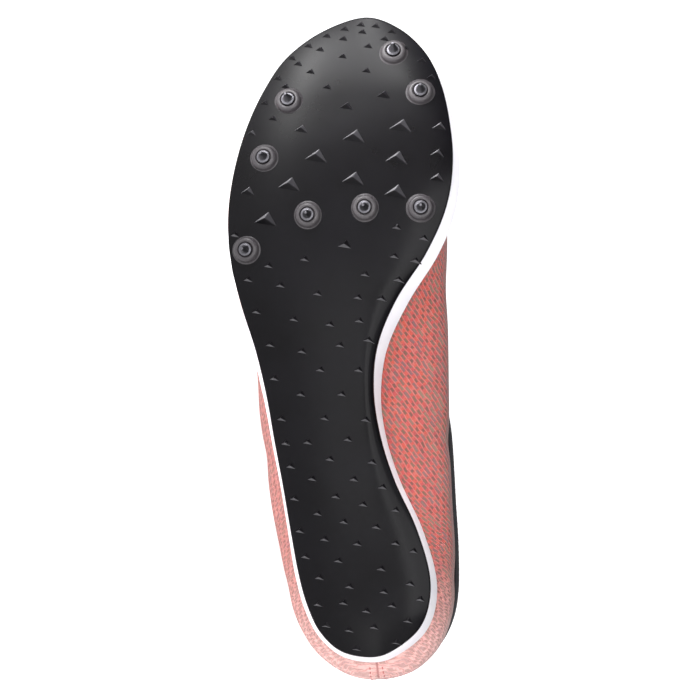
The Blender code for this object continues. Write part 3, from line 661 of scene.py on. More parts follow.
def painted_light_nylon():
    """Injection-moulded nylon of the lugs, dark: painted light greys the faces turned towards the light,
    and painted shade blackens those turned away.
    """
    made = finish("painted_light_nylon_lugs", 0.38, IOR=1.5, Specular_IOR_Level=0.12)
    painted_light = node(made, "Attribute", attribute_name="painted_light", out="Fac")
    grain = node(made, "TexNoise", {"Vector": object_place(made), "Scale": 2.2, "Detail": 3.0})
    share = node(made, "Math MULTIPLY_ADD", grain, 0.16, node(made, "Math SUBTRACT", painted_light, 0.08))
    # The colour runs from painted shade, near black, to painted light, grey, by how far a face is turned to
    # the light
    stops = ((0.15, "#060507"), (0.50, "#1c1b1e"), (0.70, "#39383b"), (0.95, "#6c6b6e"))
    node(made, "ValToRGB", share, stops=stops, to="Base Color")
    node(made, "Bump", {"Strength": 0.25, "Distance": 0.01 * MM, "Height": grain}, to="Normal")
    return made


def turned_steel():
    """Machined, nickel-plated steel: bright, with fine turning marks, drawn a sixth of a mm apart."""
    made = finish("turned_nickel_plated_steel", 0.44, 1.0)
    marks = node(made, "TexNoise", {"Vector": object_place(made), "Scale": 6.0, "Detail": 2.0})
    node(made, "ValToRGB", marks, stops=((0.3, "#4c4b4f"), (0.7, "#626166")), to="Base Color")
    node(made, "Bump", {"Strength": 0.4, "Distance": 0.03 * MM, "Height": marks}, to="Normal")
    return made


def moulded_foam():
    """Compression-moulded EVA foam: white, matt, closed skin with a faint pebble of cells 1.1 mm wide."""
    made = finish("moulded_eva_foam", 0.58, IOR=1.48, Sheen_Weight=0.05)
    place = object_place(made)
    cells = node(made, "TexVoronoi", {"Vector": place, "Scale": 0.9}, out="Distance")
    broad = node(made, "TexNoise", {"Vector": place, "Scale": 0.06, "Detail": 3.0})
    node(made, "ValToRGB", broad, stops=((0.3, "#e9e7ee"), (0.7, "#f4f2f7")), to="Base Color")
    node(made, "Bump", {"Strength": 0.35, "Distance": 0.06 * MM, "Height": cells}, to="Normal")
    return made


# Charted repeat of the upper's mesh: dashes laid slanting up the wall, in millimetres
DASH_SLANT = math.radians(54)
DASH_PITCH = 4.3
DASH_ROW = 1.75
# Each lane's dashes are set on by this share of the pitch, and up to this share more by a draw
LANE_STEP = 0.41
LANE_DRAW = 0.35
# Behind this station the lanes lie flatter and flatter round the heel
HEEL_TURN = 75.0
HEEL_BEND = 0.013
# The heel seam's place across and its half width, sharp and soft
SEAM_ACROSS = 1.8
SEAM_HALF = (0.15, 0.75)


def slanted_cells(made, x, v):
    """The chart's cells: place off a lane's middle, place along a cell, and two draws for the cell."""
    slant_cos = math.cos(DASH_SLANT)
    slant_sin = math.sin(DASH_SLANT)
    run = node(made, "Math SUBTRACT", node(made, "Math MULTIPLY", v, slant_cos),
               node(made, "Math MULTIPLY", x, slant_sin))
    behind = node(made, "Math MAXIMUM", node(made, "Math SUBTRACT", HEEL_TURN, x), 0.0)
    bend = node(made, "Math MULTIPLY", behind, behind)
    bent = node(made, "Math MULTIPLY_ADD", bend, -HEEL_BEND, x)
    side = node(made, "Math ADD", node(made, "Math MULTIPLY", v, slant_sin),
                node(made, "Math MULTIPLY", bent, slant_cos))
    lane = node(made, "Math DIVIDE", side, DASH_ROW)
    lane_number = node(made, "Math FLOOR", lane)
    lane_draw = node(made, "TexWhiteNoise", {"W": lane_number}, noise_dimensions="1D", out="Value")
    lane_shift = node(made, "Math MULTIPLY", lane_number, LANE_STEP)
    shift = node(made, "Math MULTIPLY_ADD", lane_draw, LANE_DRAW, lane_shift)
    cell = node(made, "Math ADD", node(made, "Math DIVIDE", run, DASH_PITCH), shift)
    cell_number = node(made, "Math FLOOR", cell)
    places = []
    for value in (lane, cell):
        off = node(made, "Math SUBTRACT", node(made, "Math FRACT", value), 0.5)
        places.append(node(made, "Math ABSOLUTE", off))
    key = node(made, "CombineXYZ", lane_number, cell_number)
    draw = node(made, "TexWhiteNoise", {"Vector": key}, noise_dimensions="2D", out="Color")
    first_draw, second_draw, _ = node(made, "SeparateColor", draw).node.outputs
    return *places, first_draw, second_draw


def engineered_mesh():
    """Warp-knitted polyester mesh: coral ground, slanting grey-olive dashes, dusty pink ribs between."""
    made = finish("engineered_knit_mesh", 0.85, IOR=1.5, Sheen_Weight=0.15, Sheen_Roughness=0.5)
    u, v = surface_place(made)
    source, x, y, z = shoe_place(made)
    wander = node(made, "TexNoise", {"Vector": source, "Scale": 0.16, "Detail": 2.0})
    crooked = node(made, "Math MULTIPLY_ADD", wander, 3.0, x)
    lane_place, cell_place, draw, tone = slanted_cells(made, crooked, v)
    # dashes are short near the sole and lengthen up the wall
    length = node(made, "MapRange", z, 13.0, 32.0, 0.27, 0.41)
    length = node(made, "Math MULTIPLY", length, node(made, "Math MULTIPLY_ADD", draw, 0.8, 0.55))
    over = node(made, "Math SUBTRACT", cell_place, length)
    past_end = node(made, "MapRange", over, -0.06, 0.05, **SMOOTH)
    past_side = node(made, "MapRange", lane_place, 0.22, 0.34, **SMOOTH)
    dash = node(made, "Math MULTIPLY", node(made, "Math SUBTRACT", 1.0, past_end),
                node(made, "Math SUBTRACT", 1.0, past_side))
    rib = node(made, "MapRange", lane_place, 0.34, 0.47, **SMOOTH)
    # painted light makes the heel and the outer side paler, and painted shade makes the wall darker towards
    # its top
    heel = node(made, "Math MULTIPLY", node(made, "MapRange", x, 50.0, -4.0, **SMOOTH), 0.88)
    outer = node(made, "Math MULTIPLY", node(made, "MapRange", y, 4.0, -22.0, **SMOOTH), 0.62)
    painted_light_side = node(made, "Math MAXIMUM", heel, outer)
    high = node(made, "MapRange", z, 15.0, 30.0, **SMOOTH)
    blotch = node(made, "TexNoise", {"Vector": source, "Scale": 0.55, "Detail": 2.0})
    tone = node(made, "Math MULTIPLY_ADD", tone, 0.5, node(made, "Math MULTIPLY", blotch, 0.5))
    stops = ((0.25, "#a24346"), (0.45, "#af4843"), (0.62, "#b44b3c"), (0.80, "#ab5c58"))
    ground = node(made, "ValToRGB", tone, stops=stops)
    # Over the ground: painted shade high on the wall, painted light on the outer side and the heel, then
    # the pink ribs
    for share, level, low, high_colour in (
        (high, 0.72, (0.30, "#7d3939"), (0.70, "#8a4944")),
        (outer, 1.0, (0.30, "#b98480"), (0.75, "#c9978f")),
        (heel, 1.0, (0.30, "#dcaaa5"), (0.75, "#e6bdb8")),
        (rib, 0.62, (0.30, "#ac736d"), (0.70, "#b77f79")),
    ):
        colour = node(made, "ValToRGB", blotch, stops=(low, high_colour))
        share = node(made, "Math MULTIPLY", share, level)
        ground = node(made, "Mix", {0: share, 6: ground, 7: colour}, **RGB_MIX)
    stops = ((0.15, "#5d443d"), (0.5, "#635444"), (0.75, "#6b5456"), (0.95, "#716454"))
    yarn = node(made, "ValToRGB", draw, stops=stops)
    # The dashes fade where painted light pales the mesh
    strength = node(made, "MapRange", {0: painted_light_side, 3: 0.90, 4: 0.38})
    share = node(made, "Math MULTIPLY", dash, strength)
    colour = node(made, "Mix", {0: share, 6: ground, 7: yarn}, **RGB_MIX)
    # the closed seam down the back of the heel
    seam_off = node(made, "Math ABSOLUTE", node(made, "Math SUBTRACT", y, SEAM_ACROSS))
    off_seam = node(made, "MapRange", seam_off, *SEAM_HALF, **SMOOTH)
    seam = node(made, "Math MULTIPLY", node(made, "Math SUBTRACT", 1.0, off_seam),
                node(made, "MapRange", x, 18.0, 8.0, **SMOOTH))
    share = node(made, "Math MULTIPLY", seam, 0.7)
    colour = node(made, "Mix", {0: share, 6: colour, 7: linear("#85403f")}, **RGB_MIX)
    # pin holes of the knit, 1.6 mm apart
    holes = node(made, "TexVoronoi", {"Vector": source, "Scale": 0.62}, out="Distance")
    pit = node(made, "Math SUBTRACT", 1.0, node(made, "MapRange", holes, 0.16, 0.34, **SMOOTH))
    # The pin holes fade too where painted light pales the mesh
    pit = node(made, "Math MULTIPLY", pit, node(made, "Math MULTIPLY_ADD", painted_light_side, -0.3, 0.42))
    node(made, "Mix", {0: pit, 6: colour, 7: linear("#7a3a36")}, to="Base Color", **RGB_MIX)
    # courses and wales, about a millimetre apart, sunk at the dashes and pin holes and raised at the ribs
    flat = node(made, "CombineXYZ", u, v)
    knit = [node(made, "TexWave", {"Vector": flat, "Scale": 0.32, "Distortion": 1.0, "Detail": 1.0},
                 out="Fac", wave_type="BANDS", bands_direction=way) for way in "XY"]
    relief = node(made, "Math MULTIPLY_ADD", node(made, "Math MULTIPLY", *knit), 0.5,
                  node(made, "Math MULTIPLY", dash, -0.7))
    relief = node(made, "Math MULTIPLY_ADD", rib, 0.6, relief)
    relief = node(made, "Math MULTIPLY_ADD", pit, -0.8, relief)
    node(made, "Bump", {"Strength": 0.8, "Distance": 0.3 * MM, "Height": relief}, to="Normal")
    return made


def crossed_waves(made, turn_rate):
    """Product of two sine waves over the laid-out surface, round and up."""
    waves = [node(made, "Math SINE", node(made, "Math MULTIPLY", way, turn_rate))
             for way in surface_place(made)]
    return node(made, "Math MULTIPLY", *waves)


def woven(name, dark, light, thread_mm, roughness, sheen=0.3, depth=0.15 * MM):
    """Plain-woven or knitted textile, its threads a given number of millimetres apart."""
    made = finish(name, roughness, Sheen_Weight=sheen, Sheen_Roughness=0.5)
    threads = node(made, "Math MULTIPLY_ADD", crossed_waves(made, math.tau / thread_mm), 0.5, 0.5)
    fuzz = node(made, "TexNoise", {"Vector": object_place(made), "Scale": 0.8, "Detail": 4.0})
    level = node(made, "Math MULTIPLY_ADD", fuzz, 0.5, node(made, "Math MULTIPLY", threads, 0.5))
    node(made, "ValToRGB", level, stops=((0.25, dark), (0.75, light)), to="Base Color")
    node(made, "Bump", {"Strength": 0.6, "Distance": depth, "Height": level}, to="Normal")
    return made


def welded_film(name, dark, light):
    """Thermoplastic film welded over mesh: smooth satin skin that shows the 1.5 mm knit faintly."""
    made = finish(name, 0.42, IOR=1.5, Coat_Weight=0.1, Coat_Roughness=0.4)
    fuzz = node(made, "TexNoise", {"Vector": object_place(made), "Scale": 0.12, "Detail": 3.0})
    node(made, "ValToRGB", fuzz, stops=((0.3, dark), (0.7, light)), to="Base Color")
    node(made, "Bump", {"Strength": 0.3, "Distance": 0.08 * MM, "Height": crossed_waves(made, 4.2)},
         to="Normal")
    return made


# Geometry


def pin_uv(form, layer, place):
    """Write a face corner's surface place; place(u, v) gives millimetres."""
    for face in form.faces:
        for loop in face.loops:
            loop[layer].uv = place(loop.vert)


def finished(name, form, materials, smooth=True, weld=1e-6):
    """Weld a form, carry it to where the shoe lies, and make it a piece on the root body."""
    if weld:
        bmesh.ops.remove_doubles(form, verts=form.verts, dist=weld)
        bmesh.ops.dissolve_degenerate(form, edges=form.edges, dist=1e-7)
    mesh = bpy.data.meshes.new(name)
    own = np.array([v.co for v in form.verts])
    bmesh.ops.transform(form, matrix=REST, verts=form.verts)
    form.to_mesh(mesh)
    form.free()
    layer = mesh.attributes.new("shoe_mm", "FLOAT_VECTOR", "POINT")
    layer.data.foreach_set("vector", (own / MM).astype(np.float32).ravel())
    if smooth:
        mesh.shade_smooth()
    for made in materials:
        mesh.materials.append(made)
    piece = bpy.data.objects.new(name, mesh)
    bpy.context.scene.collection.objects.link(piece)
    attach(piece, "root")
    return piece


def grid(columns, rows, place, uv=None):
    """A grid of quads shaped by place(column, row), with its surface map in millimetres."""
    form = bmesh.new()
    layer = form.loops.layers.uv.new("surface_mm")
    bmesh.ops.create_grid(form, x_segments=columns, y_segments=rows, size=0.5)
    steps = {}
    for vert in form.verts:
        steps[vert] = (round((vert.co.x + 0.5) * columns), round((vert.co.y + 0.5) * rows))
    if uv is not None:
        pin_uv(form, layer, lambda vert: uv(*steps[vert]))
    for vert, step in steps.items():
        vert.co = place(*step)
    return form


def outward_faces(form):
    """Turn a closed form's faces outwards."""
    bmesh.ops.remove_doubles(form, verts=form.verts, dist=1e-6)
    bmesh.ops.recalc_face_normals(form, faces=form.faces)


@lru_cache(maxsize=None)
def round_distance(step):
    """Millimetres round the foot at the girth, up to a fine ray."""
    if step == 0:
        return 0.0
    a = np.array(at(ray_at(step - 1), girth(ray_at(step - 1))[0]))
    b = np.array(at(ray_at(step), girth(ray_at(step))[0]))
    return round_distance(step - 1) + float(np.hypot(*(b - a))) / MM


# Filled a little at a time, so that the function never calls itself too deep
for fine_step in range(0, RAY_STEPS + 1, 50):
    round_distance(fine_step)


def bed_profile(low_radius, high_radius, thickness):
    """Rows of a bed: share of the way out, inset from the edge, height over the lower surface."""
    shares = [math.sin(0.5 * math.pi * k / BED_ROWS) for k in range(BED_ROWS)]
    low = [(share, None, 0.0) for share in shares]
    turn = [math.radians(90 * k / 5) for k in range(6)]
    low += [(1.0, low_radius * (1 - math.sin(a)), low_radius * (1 - math.cos(a))) for a in turn]
    high = [(1.0, high_radius * (1 - math.sin(a)), thickness - high_radius * (1 - math.cos(a)))
            for a in reversed(turn)]
    high += [(share, None, thickness) for share in reversed(shares)]
    return low, high


def bed(name, low_edge, high_edge, low_height, thickness, radii, materials):
    """A sole layer: lower surface, rounded edge and upper surface, closed on the spine."""
    low, high = bed_profile(radii[0], radii[1], 1.0)
    rows = low + high

    def place(column, row):
        ray = ray_at(column)
        share, inset, level = rows[row]
        edge = low_edge(ray) if row < len(low) else high_edge(ray)
        radius = radii[0] if row < len(low) else radii[1]
        if inset is None:
            distance = share * (edge - radius)
        else:
            distance = edge - inset
        x, y = at(ray, distance)
        actual = distance / max(edge, 1e-9)
        deep = thickness(x)
        if inset is None:
            height = level * deep
        elif row < len(low):
            height = level
        else:
            height = deep - (1.0 - level)
        return Vector((x, y, low_height(x, actual) + height))

    def uv(column, row):
        spot = place(column, row)
        return spot.x / MM, spot.y / MM

    form = grid(RAY_STEPS, len(rows) - 1, place, uv)
    outward_faces(form)
    return finished(name, form, materials)


def lug_form(length, height):
    """One lug: a three-sided pyramid with its edges eased, its root sunk in the plate."""
    form = bmesh.new()
    bmesh.ops.create_cone(form, cap_ends=True, segments=3, radius1=1.0, radius2=0.0, depth=2.0)
    bmesh.ops.remove_doubles(form, verts=form.verts, dist=1e-6)
    spread = (height + LUG_ROOT) / height
    base = sorted((v for v in form.verts if v.co.z < 0), key=lambda v: math.atan2(v.co.y, v.co.x))
    peak = [v for v in form.verts if v.co.z > 0][0]
    corners = [(x * length * spread, -y * length * spread) for x, y in LUG_CORNERS]
    corners.sort(key=lambda c: math.atan2(c[1], c[0]))
    for vert, (x, y) in zip(base, corners):
        vert.co = (x, y, -LUG_ROOT)
    peak.co = (0.0, 0.0, height)
    sharp = [e for e in form.edges if peak in e.verts]
    bmesh.ops.bevel(form, geom=sharp, offset=0.06 * length, offset_type="OFFSET", segments=2,
                    profile=0.5, affect="EDGES", material=-1)
    bmesh.ops.recalc_face_normals(form, faces=form.faces)
    return to_template(form, "lug_template")


def spun(profile, sides):
    """A turned form from its half section, radius and height."""
    form = bmesh.new()
    verts = [form.verts.new((radius, 0.0, height)) for radius, height in profile]
    edges = [form.edges.new(pair) for pair in zip(verts, verts[1:])]
    bmesh.ops.spin(form, geom=verts + edges, cent=(0, 0, 0), axis=(0, 0, 1), angle=math.tau,
                   steps=sides, use_merge=True)
    bmesh.ops.remove_doubles(form, verts=form.verts, dist=1e-7)
    bmesh.ops.recalc_face_normals(form, faces=form.faces)
    return form


def arc(centre, radius, start, end, steps):
    """Points of a round in a half section, from one angle to another, in degrees."""
    angles = [math.radians(start + (end - start) * k / steps) for k in range(steps + 1)]
    return [(centre[0] + radius * math.cos(a), centre[1] + radius * math.sin(a)) for a in angles]


def stamped(template, frames):
    """One form made of a template at each frame."""
    form = bmesh.new()
    for place in frames:
        before = len(form.verts)
        form.from_mesh(template)
        form.verts.ensure_lookup_table()
        bmesh.ops.transform(form, matrix=place, verts=form.verts[before:])
    return form


def to_template(form, name):
    """Turn a form into a mesh, to stamp or to join."""
    mesh = bpy.data.meshes.new(name)
    form.to_mesh(mesh)
    form.free()
    return mesh


# Sole

NYLON = moulded_nylon("moulded_nylon_plate", 0.09, 0.02 * MM, 0.18, "#080709", "#0c0b0e")
SATIN = moulded_nylon("satin_nylon_bosses", 0.30, 0.02 * MM, 0.34, "#343134", "#3d3a3c")
PAINTED_LIGHT_NYLON = painted_light_nylon()
STEEL = turned_steel()
FOAM = moulded_foam()

plate = bed("outsole_plate_moulding", plate_reach, plate_reach, plate_low, lambda x: PLATE_THICK,
            (0.0006, 0.0004), [NYLON])
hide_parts("outsole_plate")

lugs = bmesh.new()
for size in LUG_SIZES:
    places = [standing(*plate_point(s, o)) for s, o, kind in lug_places() if kind == size]
    template = lug_form(*LUG_SIZES[size])
    lugs.from_mesh(to_template(stamped(template, places), "lugs_" + size))
lug_piece = finished("pyramid_lugs", lugs, [PAINTED_LIGHT_NYLON], smooth=False, weld=0)

# Painted light and shade on the lugs: how much a face is turned to the light, the toe faces of the large
# lugs, the heel faces of those farther back
PAINTED_LIGHT_ZONES = (
    # from_station, along, out, level
    (0.830, 0.98, -0.20, 0.74),
    (0.665, 0.98, -0.20, 1.00),
    (-0.100, -0.90, -0.30, 0.90),
)

# Each face gets its share of painted light from how far it turns towards the light
painted_light = lug_piece.data.attributes.new("painted_light", "FLOAT", "FACE")
for face in lug_piece.data.polygons:
    station = (REST.inverted() @ face.center).x / SOLE_LENGTH
    along_foot, out, level = next(zone[1:] for zone in PAINTED_LIGHT_ZONES if station > zone[0])
    facing = (REST.to_3x3().inverted() @ face.normal).dot(Vector((along_foot, out, 0.0)))
    painted_light.data[face.index].value = (0.5 + 0.5 * facing) * level

# Bosses: a seat with a rounded rim, a dome between two angles and a foot sunk in the plate

DOME_STEPS = 12
DOME_TOP = 84.0
DOME_SPAN = 80.0
BOSS_FOOT = 0.0008

rim = 0.0003
floor_height = BOSS_HEIGHT - SEAT_DEPTH
boss_profile = [(0.0, floor_height), (SEAT_RADIUS - 0.0001, floor_height)]
boss_profile += [(SEAT_RADIUS, BOSS_HEIGHT - rim)]
boss_profile += arc((SEAT_RADIUS + rim, BOSS_HEIGHT - rim), rim, 180, 90, 4)[1:]
for k in range(DOME_STEPS + 1):
    angle = math.radians(DOME_TOP - DOME_SPAN * k / DOME_STEPS)
    boss_profile.append((BOSS_TOP_RADIUS + (BOSS_RADIUS - BOSS_TOP_RADIUS) * math.cos(angle),
                         BOSS_HEIGHT * math.sin(angle)))
boss_profile += [(BOSS_RADIUS + 0.0003, 0.0), (BOSS_RADIUS + BOSS_FOOT, -0.0002),
                 (BOSS_RADIUS + BOSS_FOOT, -BOSS_FOOT), (0.0, -BOSS_FOOT)]
boss_template = to_template(spun(boss_profile, 48), "boss_template")
boss_frames = [standing(*plate_point(station, out)) for station, out in BOSSES]
bosses = finished("spike_bosses", stamped(boss_template, boss_frames), [SATIN], weld=0)

# Pins: a flange in the seat, then a cone to a rounded tip

base = floor_height + GAP
top = base + SPIKE_FLANGE_THICK
ease = 0.00018
spike_profile = [(0.0, base + SPIKE_LENGTH)]
spike_profile += arc((SPIKE_TIP_RADIUS - ease, base + SPIKE_LENGTH - ease), ease, 90, 10, 4)
spike_profile += [(SPIKE_CONE_RADIUS - 0.0001, top + 0.0003), (SPIKE_CONE_RADIUS + 0.0002, top)]
spike_profile += arc((SPIKE_FLANGE_RADIUS - ease, top - ease), ease, 90, 0, 4)
spike_profile += [(SPIKE_FLANGE_RADIUS, base), (0.0, base)]
spike_template = to_template(spun(spike_profile, 40), "spike_template")
for number, place in enumerate(boss_frames, 1):
    pin = finished(f"spike_pin_{number}", stamped(spike_template, [place]), [STEEL], weld=0)
    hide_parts(f"spike_{number}")

midsole = bed("midsole_foam", lambda ray: plate_reach(ray) - FOAM_TUCK, foam_reach, foam_low, foam,
              (0.0006, 0.0012), [FOAM])
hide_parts("midsole")

footbed = bed("footbed", insole_edge, insole_edge, insole_low, lambda x: INSOLE_THICK, (0.0004, 0.0010),
              [woven("brushed_tricot_footbed", "#2c2c2f", "#4a4a4e", 0.9, 0.9)])
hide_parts("insole")

# Upper

MESH = engineered_mesh()
LINING = woven("tricot_lining", "#b9b4b2", "#dedbd9", 1.1, 0.9)
FILM = welded_film("welded_film_eyestay", "#d7554f", "#e4625a")
KNIT = woven("rib_knit_collar", "#0e0e10", "#26262a", 0.9, 0.9)
PADDING = woven("spacer_mesh_tongue", "#cf5f58", "#ee8177", 1.4, 0.85, depth=0.0003)
LACING = woven("flat_woven_lace", "#cfccd0", "#f3f1f4", 0.7, 0.75)
THREAD = woven("polyester_thread", "#8f3f3c", "#b9605a", 0.4, 0.6)

# Soft creases: station and place across of the middle, half length, half width, turn, depth
CREASES = (
    # station, out, half_length, half_width, turn_degrees, depth
    (0.735, 0.02, 0.026, 0.0045, 86, -0.0010),
    (0.770, -0.04, 0.030, 0.0050, 94, -0.0012),
    (0.752, 0.00, 0.024, 0.0040, 90, 0.0006),
    (0.800, 0.03, 0.022, 0.0045, 88, -0.0007),
    (0.330, 0.34, 0.020, 0.0060, 60, -0.0008),
    (0.300, -0.36, 0.022, 0.0060, 118, -0.0008),
    (0.560, 0.36, 0.024, 0.0070, 40, -0.0007),
    (0.600, -0.48, 0.020, 0.0055, 135, -0.0007),
    (0.120, 0.33, 0.016, 0.0060, 75, -0.0006),
    (0.110, -0.34, 0.016, 0.0060, 105, -0.0006),
)


def crease_height(x, y):
    """Sum of the creases over a ground point."""
    total = 0.0
    for station, out, half_length, half_width, turn, depth in CREASES:
        dx = x - station * SOLE_LENGTH
        dy = y - out * BALL_WIDTH
        c, s = math.cos(math.radians(turn)), math.sin(math.radians(turn))
        run = (dx * c + dy * s) / half_length
        off = (-dx * s + dy * c) / half_width
        total += depth * math.exp(-run * run - off * off)
    return total


def wall_point(step, row):
    """Point of the upper's outer surface at a fine ray and row."""
    ray = ray_at(step)
    if row <= SIDE_ROWS:
        return stand(ray, side_section(ray, row / SIDE_ROWS))
    return stand(ray, crown_section(ray, edge_parameter(ray) * (row - SIDE_ROWS) / CROWN_ROWS))


WALL_ROWS = SIDE_ROWS + CROWN_ROWS
wall = {(c, r): wall_point(c, r) for c in range(RAY_STEPS) for r in range(WALL_ROWS + 1)}


def wall_normal(column, row):
    left = wall[(column - 1) % RAY_STEPS, row]
    right = wall[(column + 1) % RAY_STEPS, row]
    low = wall[column % RAY_STEPS, max(row - 1, 0)]
    high = wall[column % RAY_STEPS, min(row + 1, WALL_ROWS)]
    normal = (right - left).cross(high - low)
    return normal.normalized() if normal.length > 1e-12 else Vector((0, 0, 1))


HEEL_SEAM_DEPTH = 0.0005
HEEL_SEAM_HALF = 0.0006


def upper_place(column, row):
    """The wall with its creases and the sunk seam down the back of the heel."""
    spot = wall[column % RAY_STEPS, row]
    fade = min(row / 8, 1.0) * min((WALL_ROWS - row) / 6, 1.0)
    rise = crease_height(spot.x, spot.y) * fade
    if spot.x < 0.02:
        rise -= HEEL_SEAM_DEPTH * math.exp(-((spot.y - 0.0018) / HEEL_SEAM_HALF) ** 2) * min(fade, 1.0)
    return spot + wall_normal(column, row) * rise


rise_mm = {}
for c in range(RAY_STEPS):
    total = 0.0
    rise_mm[c, 0] = 0.0
    for r in range(1, WALL_ROWS + 1):
        total += (wall[c, r] - wall[c, r - 1]).length / MM
        rise_mm[c, r] = total


def upper_uv(column, row):
    return round_distance(column), feather(ray_at(column))[0] / MM + rise_mm[column % RAY_STEPS, row]


upper_form = grid(RAY_STEPS, WALL_ROWS, upper_place, upper_uv)
bmesh.ops.remove_doubles(upper_form, verts=upper_form.verts, dist=1e-6)
bmesh.ops.recalc_face_normals(upper_form, faces=upper_form.faces)
upper = finished("knitted_upper", upper_form, [MESH, LINING], weld=0)
thickness = upper.modifiers.new("Wall", "SOLIDIFY")
thickness.thickness = UPPER_WALL
thickness.offset = -1.0
thickness.use_even_offset = True
thickness.use_quality_normals = True
thickness.material_offset = 1
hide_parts("upper")


def above(step, t, height):
    """Point over the crown surface at a fine ray's parameter, raised square to it."""
    ray, before, after = ray_at(step), ray_at(step - 3), ray_at(step + 3)
    low = max(t - 0.01, 0.0)
    up = stand(ray, crown_section(ray, min(t + 0.01, 1.0))) - stand(ray, crown_section(ray, low))
    on = stand(after, crown_section(after, t)) - stand(before, crown_section(before, t))
    normal = on.cross(up).normalized()
    if t > 1.0 - 1e-6:
        normal = Vector((normal.x, 0.0, normal.z)).normalized()
    return stand(ray, crown_section(ray, t)) + normal * height


BAND_LIFT = 0.0001
BAND_THICK = OVERLAY_CLEARANCE + OVERLAY_THICK


def band(steps, start, end, rows, round_off):
    """A thin band over the upper: steps round the foot, rows from start to end, eased edges."""
    levels = [(0.0, 0.0), *[(k / rows, 1.0) for k in range(rows + 1)], (1.0, 0.0)]

    def place(column, row):
        share, level = levels[row]
        ray = ray_at(steps[column])
        a, b = start(ray), end(ray)
        t = a + (b - a) * share
        edge = min(share, 1 - share) * rows
        dip = round_off * max(0.0, 1.0 - edge) ** 2
        ends = min(column, len(steps) - 1 - column)
        high = BAND_THICK * (1 - dip) * level * (1.0 if ends else 0.2)
        return above(steps[column], t, BAND_LIFT + high)

    def uv(column, row):
        return round_distance(steps[column] % RAY_STEPS), rows * levels[row][0]

    return grid(len(steps) - 1, len(levels) - 1, place, uv)


last = (FAN_STEPS + QUARTER_STEPS - 1) * RAY_SPLIT
collar_steps = list(range(-last, last + 1))
collar_form = band(collar_steps, lambda ray: edge_parameter(ray, COLLAR_BAND_WIDTH), edge_parameter,
                   12, 0.35)
bmesh.ops.recalc_face_normals(collar_form, faces=collar_form.faces)
collar = finished("collar_band_knit", collar_form, [KNIT], weld=0)
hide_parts("collar_band")


def eyestay_half(x):
    """Half width of the eyestay's outline: a band along the throat with a round toe end."""
    toe = THROAT_TOE * SOLE_LENGTH
    if x <= toe:
        return throat_half(x) + EYESTAY_WIDTH
    past = min((x - toe) / EYESTAY_TOE_REACH, 0.995)
    return (throat_half(toe) + EYESTAY_WIDTH) * math.sqrt(1.0 - past**2)


first = (FAN_STEPS + QUARTER_STEPS) * RAY_SPLIT
last = first + (THROAT_STEPS + 2) * RAY_SPLIT
eyestay_form = bmesh.new()
for steps in (list(range(first, last + 1)), [RAY_STEPS - s for s in range(last, first - 1, -1)]):
    half_form = band(steps, lambda ray: across(ray, eyestay_half(ray[0][0])), edge_parameter, 14, 0.5)
    eyestay_form.from_mesh(to_template(half_form, "eyestay_half"))
bmesh.ops.remove_doubles(eyestay_form, verts=eyestay_form.verts, dist=1e-5)
bmesh.ops.recalc_face_normals(eyestay_form, faces=eyestay_form.faces)
eyestay = finished("eyestay_film", eyestay_form, [FILM], weld=0)
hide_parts("eyestay")

# Tongue: a padded strip, domed between its edges

TONGUE_COLUMNS = 24
TONGUE_ROWS = 80
TONGUE_DROP = UPPER_WALL + TONGUE_CLEARANCE


def tongue_half(x):
    share = (x / SOLE_LENGTH - TONGUE_TOP) / (TONGUE_TOE - TONGUE_TOP)
    half = throat_half(min(x, THROAT_TOE * SOLE_LENGTH)) + TONGUE_UNDERLAP
    rounding = min(share / 0.12, 1.0)
    return half * (0.62 + 0.38 * math.sin(0.5 * math.pi * rounding))


def tongue_place(column, row):
    """Round the tongue's section: top face across, then the underside back."""
    share = row / TONGUE_ROWS
    x = (TONGUE_TOP + (TONGUE_TOE - TONGUE_TOP) * share) * SOLE_LENGTH
    angle = math.tau * column / (2 * TONGUE_COLUMNS)
    wide = math.cos(angle)
    round_wide = math.copysign(abs(wide) ** 0.45, wide)
    deep = 0.5 - 0.5 * math.copysign(abs(math.sin(angle)) ** 0.45, math.sin(angle))
    quilt = 0.0004 * math.cos(math.tau * share * 9) * (1 - abs(round_wide)) * (1 - 2 * deep)
    end = min(share, 1 - share) * TONGUE_ROWS
    pinch = math.sqrt(min(end / 3, 1.0)) if end < 3 else 1.0
    middle = 0.5
    level = middle + (deep - middle) * max(pinch, 0.15)
    return saddle(x, round_wide * tongue_half(x), TONGUE_DROP + TONGUE_THICK * level - quilt)


tongue_form = grid(2 * TONGUE_COLUMNS, TONGUE_ROWS, tongue_place,
                   lambda c, r: (c * 2.0, r * 1.2))
bmesh.ops.remove_doubles(tongue_form, verts=tongue_form.verts, dist=1e-6)
ends = [e for e in tongue_form.edges if e.is_boundary]
bmesh.ops.holes_fill(tongue_form, edges=ends, sides=0)
bmesh.ops.recalc_face_normals(tongue_form, faces=tongue_form.faces)
tongue = finished("padded_tongue", tongue_form, [PADDING], weld=0)
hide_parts("tongue")

# Lace: flat lengths from eyelet to eyelet, each end turned down into its hole

LACE_STEPS = 40
LACE_SIDES = 12


